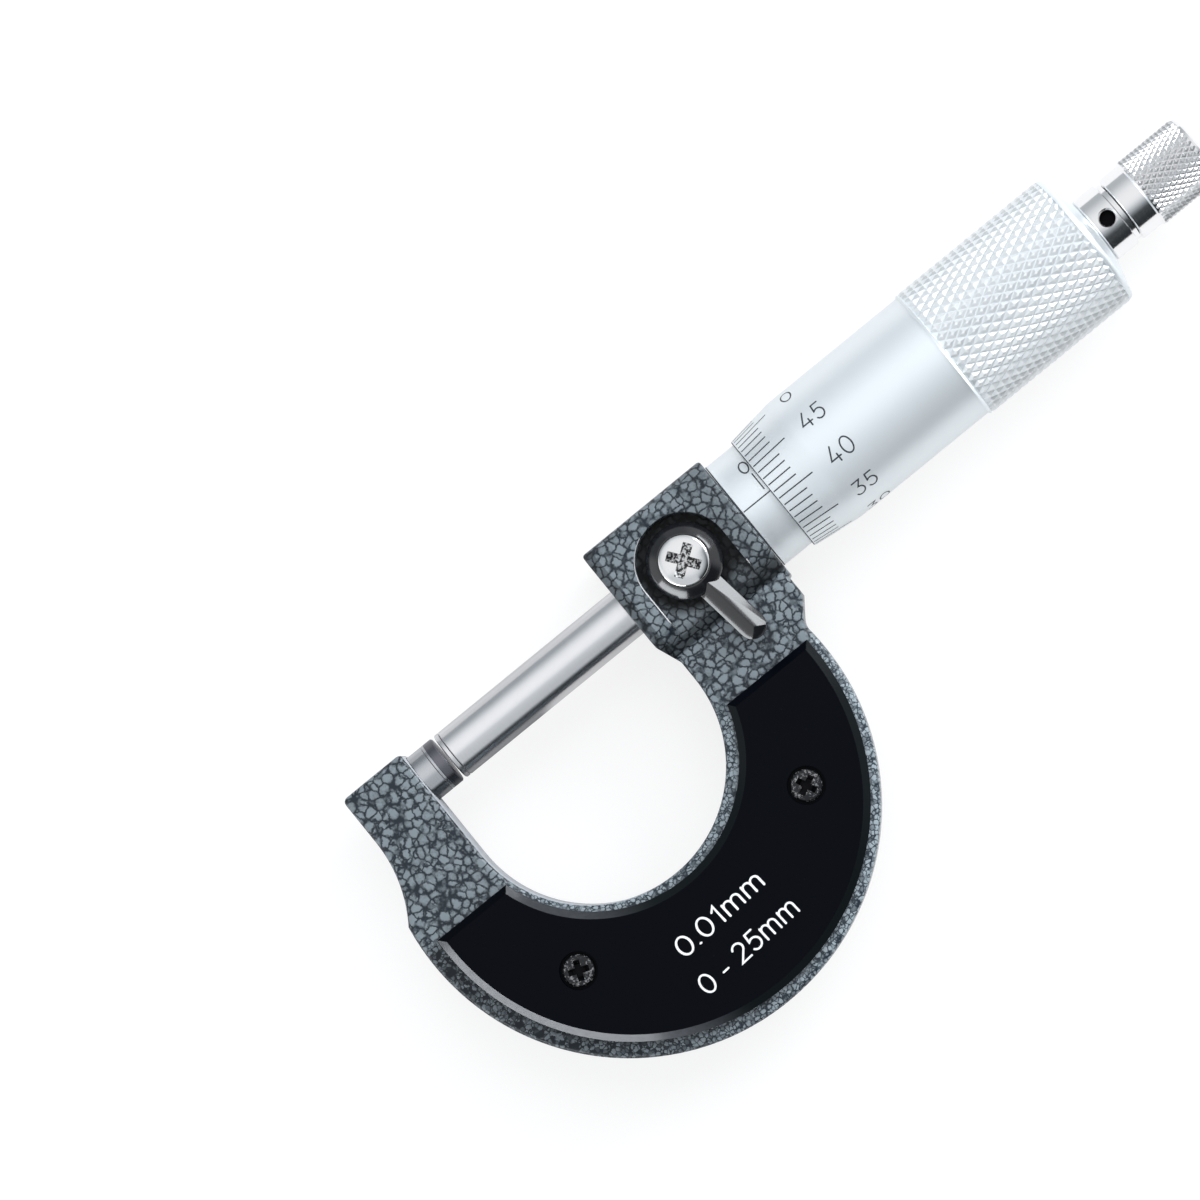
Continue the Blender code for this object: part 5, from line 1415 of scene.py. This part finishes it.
class MICROMETER_OT_ratchet(Operator):
    """Ratchet body, knurled knob and the screw in its end"""
    bl_idname = "micrometer.ratchet"
    bl_label = "Ratchet"

    def execute(self, context):
        ratchet = settings().ratchet
        low, high = span("ratchet_body")
        start = span("thimble")[1].x + GAP
        knob_low, knob_high = span("ratchet_knob")
        r, groove = ratchet.radius, start + ratchet.cap
        shank, journal = 0.002, 0.0021
        profile = [
            (low.x, 0), (low.x, shank), (start, shank), (start, r - 0.0002), (start + 0.0002, r),
            (groove - 0.00015, r), (groove, r - 0.00015), (groove, r - ratchet.groove_depth),
            (groove + ratchet.groove, r - ratchet.groove_depth), (groove + ratchet.groove, journal),
            (high.x, journal), (high.x, 0)]
        mesh = turned(profile)
        hole_r, depth, chamfer = ratchet.hole_d / 2, ratchet.hole_depth, 0.00022
        hole_x = start + ratchet.hole_x
        for hole in (post(hole_r, r - depth, r - 0.00012, 48, chamfer),
                     post(hole_r + chamfer, r - 0.00013, r + PAST)):
            mesh = combined(mesh, moved(hole, (hole_x, 0, 0)))
        # the spanner hole's wall gets the painted recess shade
        mesh = second_finish(smooth(mesh), lambda middle, normal: (
            math.hypot(middle.x - hole_x, middle.y) < hole_r + 0.00002
            and r - depth - 0.0001 < middle.z < r - 0.0003))
        finished("ratchet_cap", mesh, "spindle_set",
                 ("bright", "recess_shade"), ("ratchet_body",))

        top, collar = r + ratchet.knurl_height, knob_low.x + ratchet.collar
        teeth_r, teeth, head_r, head, hole = 0.00375, 0.0055, 0.00325, 0.0028, 0.00225
        profile = [
            (knob_low.x, teeth_r), (knob_low.x, r - 0.00015), (knob_low.x + 0.00015, r),
            (collar - 0.0003, r), (collar - 0.0001, top), (collar + 0.00005, top),
            (collar + 0.0001, r + KNURL_RISE), (knob_high.x - 0.0006, r + KNURL_RISE),
            (knob_high.x - 0.00055, r + 0.00015), (knob_high.x - 0.0003, r + 0.00012),
            (knob_high.x, r - 0.0003), (knob_high.x, head_r), (knob_high.x - head, head_r),
            (knob_high.x - head, hole), (knob_high.x - teeth, hole), (knob_high.x - teeth, teeth_r)]
        step = (knob_high.x - 0.0006 - collar) / (ratchet.knurl_rows + 0.3)
        diamonds = knurled(ratchet, collar + step * 0.65, step, 2 * math.pi * r, r + KNURL_RISE,
                           ratchet.knurl_top, "knob_knurl")
        finished("knob_body", turned(profile), "ratchet_grip", ("bright",),
                 ("ratchet_knob",))
        finished("knob_knurl", diamonds, "ratchet_grip", ("knob_knurl",))

        low, high = span("ratchet_screw")
        shank_r, head_r, head_x, c = 0.0011, 0.0031, high.x - 0.0014, 0.0002
        profile = [(low.x, 0), (low.x, shank_r), (head_x, shank_r), (head_x, head_r),
                   (high.x - c, head_r), (high.x, head_r - c), (high.x, 0)]
        half, reach, depth = 0.0004, 0.004, 0.0006
        slot = solid([(-half, -reach), (half, -reach), (half, reach), (-half, reach)], 0, PAST)
        slot = moved(along_x(slot), (high.x - depth, 0, 0))
        finished("knob_screw", smooth(combined(turned(profile, 64), slot)), "spindle_set",
                 ("bright",), ("ratchet_screw",))
        return {'FINISHED'}


# ---------------------------------------------------------------- lock

def lever_mesh(lock):
    """Knob and roof-shaped arm of the lock lever, its underside at z = 0 and the arm along -y."""
    r, edge, height = lock.knob_d / 2, lock.knob_edge, lock.knob_height
    head = lock.head_d / 2 + GAP
    floor, stud, hole = height - lock.screw_sink, 0.0026, 0.0014
    knob = upright([
        (0, stud), (0, r - 0.0002), (0.0002, r), (edge - 0.0001, r), (edge + 0.0001, r - 0.00014),
        (height - 0.00008, head + 0.00022), (height, head + 0.0001), (height, head), (floor, head),
        (floor, hole), (edge + 0.0001, hole), (edge + 0.0001, stud)], 144)
    half = lock.arm_width / 2
    section = [(half, 0.0001), (half, lock.arm_side), (0, lock.arm_ridge), (-half, lock.arm_side),
               (-half, 0.0001)]
    arm = moved(solid(section, (stud + r) / 2, lock.arm_reach + PAST), turn=(math.pi / 2, 0, 0))
    plan = arc(0, half - lock.arm_reach, half, 180, 360, 6) + [(half, 0), (-half, 0)]
    arm = combined(arm, solid(plan, -PAST, height + PAST), 'INTERSECT')
    tip, reach = lock.arm_reach - lock.arm_tip, lock.arm_reach + 0.0005
    side = [(0, -PAST), (reach, -PAST), (reach, lock.arm_side / 2), (tip, height), (0, height)]
    facet = moved(solid(side, -0.004, 0.004), turn=(math.pi / 2, 0, -math.pi / 2))
    arm = bevelled(combined(arm, facet, 'INTERSECT'), 0.00007, 2, 20)
    return smooth(combined(knob, arm, 'UNION'), 20)


class MICROMETER_OT_lock(Operator):
    """Lock lever with its dome screw"""
    bl_idname = "micrometer.lock"
    bl_label = "Lock"

    def execute(self, context):
        lock = settings().lock
        base = span("lock_lever")[0].z
        lever = moved(lever_mesh(lock), (LOCK.x, 0, base), (0, 0, lock.tilt))
        finished("lever", lever, "lock_set", ("lever",), ("lock_lever",))

        low, high = span("lock_screw")
        r, rim = lock.head_d / 2, lock.head_height - lock.dome
        head_z = high.z - lock.head_height
        angles = [math.pi / 2 * i / 14 for i in range(15)]
        dome = [(rim + lock.dome * math.cos(a), r * math.sin(a)) for a in reversed(angles)]
        foot, shank = low.z - head_z, 0.0013
        profile = [(foot, 0), (foot, shank), (0, shank), (0, r)] + dome
        screw = with_cross(upright(profile, 96, closed=False), lock.head_d * 0.78, 0.00125,
                           lock.head_height, 0.0006)

        def in_recess(middle, normal):
            reach = math.hypot(middle.x, middle.y)
            surface = rim + lock.dome * math.sqrt(max(0.0, 1 - (reach / r) ** 2))
            return reach < r * 0.8 and 0.00002 < surface - middle.z < 0.0009

        # the dome screw's recess gets painted shade
        second_finish(screw, in_recess)
        finished("dome_screw", smooth(moved(screw, (LOCK.x, 0, head_z), (0, 0, lock.tilt + 0.5))),
                 "lock_set", ("bright", "rough_recess"), ("lock_screw",))
        return {'FINISHED'}


class MICROMETER_OT_inside(Operator):
    """Finishes of the pieces inside the instrument"""
    bl_idname = "micrometer.inside"
    bl_label = "Inner pieces"

    def execute(self, context):
        for node in ("screw_sleeve", "adjusting_nut", "ratchet_spring", "ratchet_clutch",
                     "lock_stud", "lock_pad"):
            item = frame["nodes"][node]
            item = item if hasattr(item, "material_slots") else bpy.data.objects[item]
            for slot in item.material_slots:
                slot.material = FINISH["brass" if node == "lock_pad" else "plain_steel"]
        return {'FINISHED'}


# ---------------------------------------------------------------- studio

def camera_turn(stage):
    """The camera's rotation: looking down, rolled in the picture and tilted a little."""
    roll = Matrix.Rotation(stage.roll, 3, 'Z')
    tilt = Vector((stage.tilt_x, stage.tilt_y, 0))
    lean = Matrix.Rotation(tilt.length, 3, tilt.normalized())
    return (lean @ roll).transposed().to_4x4()


def studio_world():
    """White to the camera. Metal sees a white ceiling, a pale wall behind and a dark front."""
    world = bpy.data.worlds.new("studio")
    world.use_nodes = True
    world.node_tree.nodes.clear()
    nodes = Nodes(world.node_tree)
    x, y, z = nodes.split(nodes.add('ShaderNodeTexCoord', out="Generated"))
    behind = nodes.ramp(z, 0.25, 1.0, nodes.ramp(x, -0.05, 0.06, 0.36, 0.56), 1.0)
    rise = nodes.most(nodes.line(z, 2.86, -1.86), 0.0)
    dark = nodes.line(nodes.times(rise, rise), 0.95, 0.035)
    pale = nodes.most(nodes.ramp(z, 0.27, 0.52, 0.04, 0.70), dark)
    front = nodes.ramp(nodes.ramp(x, -0.04, 0.07), 0.0, 1.0, pale, dark)
    walls = nodes.ramp(nodes.ramp(y, -0.12, 0.12), 0.0, 1.0, front, behind)
    ends = nodes.ramp(nodes.maths('ABSOLUTE', x), 0.50, 0.85)
    level = nodes.ramp(ends, 0.0, 1.0, walls, nodes.line(x, -0.1, 0.95))
    tint = nodes.blend(level, (0.80, 0.92, 1.0), (0.98, 0.99, 1.0))
    shade = nodes.blend(level, (0.0, 0.0, 0.0), tint)
    rays = nodes.add('ShaderNodeLightPath', out=None)
    plain = nodes.blend(rays["Is Diffuse Ray"], shade, (0.55, 0.57, 0.59))
    seen = nodes.blend(rays["Is Camera Ray"], plain, (1.0, 1.0, 1.0))
    light = nodes.add('ShaderNodeBackground', seen, 1.0)
    nodes.add('ShaderNodeOutputWorld', light, out=None)
    bpy.context.scene.world = world


def floor_material(level):
    """A pale floor: white to the camera and to metal, except for painted shade that only metal's
    reflections see near the bow, beside the anvil and behind the spindle, with the object's shadow
    on it.
    """
    material, nodes, inputs, coordinates = new_material(
        "pale_floor", Base_Color=(level,) * 3, Roughness=0.9, Specular_IOR_Level=0.0)
    nodes.feed(inputs["Base Color"], nodes.blend(
        nodes.noise(coordinates, 60.0, 2.0), (level * 0.99,) * 3, (level,) * 3))
    rays = nodes.add('ShaderNodeLightPath', out=None)
    seen = nodes.most(*(rays[f"Is {kind} Ray"] for kind in ("Camera", "Glossy", "Transmission")))
    x, y, _ = nodes.split(on_axis(nodes, coordinates))
    # painted shade in reflections: darker patches of the floor that only glossy rays see
    bow_x, bow_y, bow_z = nodes.split(on_axis(nodes, coordinates, (0.013, -0.012, -AXIS.z)))
    under_bow = nodes.ramp(nodes.length(bow_x, bow_y, bow_z), 0.036, 0.022, 0.0, -0.45)
    beside = nodes.times(nodes.ramp(x, 0.0140, 0.0115), nodes.ramp(y, 0.0, -0.004), -0.45)
    behind = nodes.times(nodes.ramp(x, 0.036, 0.030), nodes.ramp(y, 0.004, 0.030, 0.0, -0.5))
    darker = nodes.maths('ADD', under_bow, nodes.maths('ADD', beside, behind))
    seen = nodes.most(nodes.line(darker, rays["Is Glossy Ray"], seen), 0.0)
    glow = nodes.add('ShaderNodeEmission', (1, 1, 1), nodes.times(seen, 0.80))
    shader = inputs["Base Color"].node.outputs[0]
    both = nodes.add('ShaderNodeAddShader', shader, glow)
    nodes.feed(material.node_tree.nodes["Material Output"].inputs["Surface"], both)
    return material


def placed(name, data, matrix):
    """A lamp or the camera in the scene."""
    item = bpy.data.objects.new(name, data)
    bpy.context.scene.collection.objects.link(item)
    item.matrix_world = matrix
    return item


def soft_box(name, place, size, power):
    """A soft rectangular light that looks at the instrument's middle."""
    light = bpy.data.lights.new(name, 'AREA')
    light.shape = 'RECTANGLE'
    light.size, light.size_y = size
    light.energy = power
    light.color = (0.93, 0.965, 1.0)
    way = Vector((0.035, -0.01, 0)) - Vector(place)
    turn = way.to_track_quat('-Z', 'Y').to_matrix().to_4x4()
    return placed(name, light, Matrix.Translation(AXIS + Vector(place)) @ turn)


class MICROMETER_OT_stage(Operator):
    """Pale floor, soft studio light and the camera"""
    bl_idname = "micrometer.stage"
    bl_label = "Studio"

    def execute(self, context):
        stage = settings().stage
        scene = context.scene
        scene.view_settings.view_transform = 'Standard'
        lens = bpy.data.cameras.new("camera")
        lens.sensor_width = 36
        lens.lens = lens.sensor_width * stage.scale * stage.camera_height / PICTURE_WIDTH
        lens.clip_start, lens.clip_end = 0.01, 20
        place = AXIS + Vector((stage.camera_x, stage.camera_y, stage.camera_height))
        scene.camera = placed("camera", lens, Matrix.Translation(place) @ camera_turn(stage))

        mesh = bpy.data.meshes.new("floor")
        with editing(mesh) as work:
            bmesh.ops.create_grid(work, x_segments=8, y_segments=8, size=1.5)
        mesh.materials.append(floor_material(stage.floor))
        floor = placed("floor", mesh, Matrix())

        above = soft_box("overhead", (0.20, 0.25, 0.50), (0.45, 0.45), stage.key)
        above.visible_glossy = False
        soft_box("left_box", (-0.36, -0.20, 0.065), (0.45, 0.13), stage.side * 1.7)
        soft_box("right_box", (0.42, 0.06, 0.21), (0.26, 0.18), stage.side * 1.8)
        studio_world()
        return {'FINISHED'}


# ---------------------------------------------------------------- add-on

OPERATORS = (
    MICROMETER_OT_stage, MICROMETER_OT_frame, MICROMETER_OT_plates, MICROMETER_OT_spindle,
    MICROMETER_OT_sleeve, MICROMETER_OT_thimble, MICROMETER_OT_ratchet, MICROMETER_OT_lock,
    MICROMETER_OT_inside,
)


class MICROMETER_PT_pieces(Panel):
    """Lists the operators that build the micrometer"""
    bl_label = "Outside micrometer"
    bl_idname = "MICROMETER_PT_pieces"
    bl_space_type = 'VIEW_3D'
    bl_region_type = 'UI'
    bl_category = "Micrometer"

    def draw(self, context):
        for operator in OPERATORS:
            self.layout.operator(operator.bl_idname)


GROUPS = (FrameSizes, PlateSizes, ScaleSizes, RatchetSizes, LockSizes, Finishes, StageSettings,
          MicrometerSettings)


def register():
    for item in (*GROUPS, *OPERATORS, MICROMETER_PT_pieces):
        bpy.utils.register_class(item)
    bpy.types.Scene.micrometer = PointerProperty(type=MicrometerSettings)


def unregister():
    del bpy.types.Scene.micrometer
    for item in reversed((*GROUPS, *OPERATORS, MICROMETER_PT_pieces)):
        bpy.utils.unregister_class(item)


def main():
    register()
    FINISH.update(make_finishes())
    bpy.ops.micrometer.stage()
    bpy.ops.micrometer.frame()
    bpy.ops.micrometer.plates()
    bpy.ops.micrometer.spindle()
    bpy.ops.micrometer.sleeve()
    bpy.ops.micrometer.thimble()
    bpy.ops.micrometer.ratchet()
    bpy.ops.micrometer.lock()
    bpy.ops.micrometer.inside()


if __name__ == "__main__":
    main()
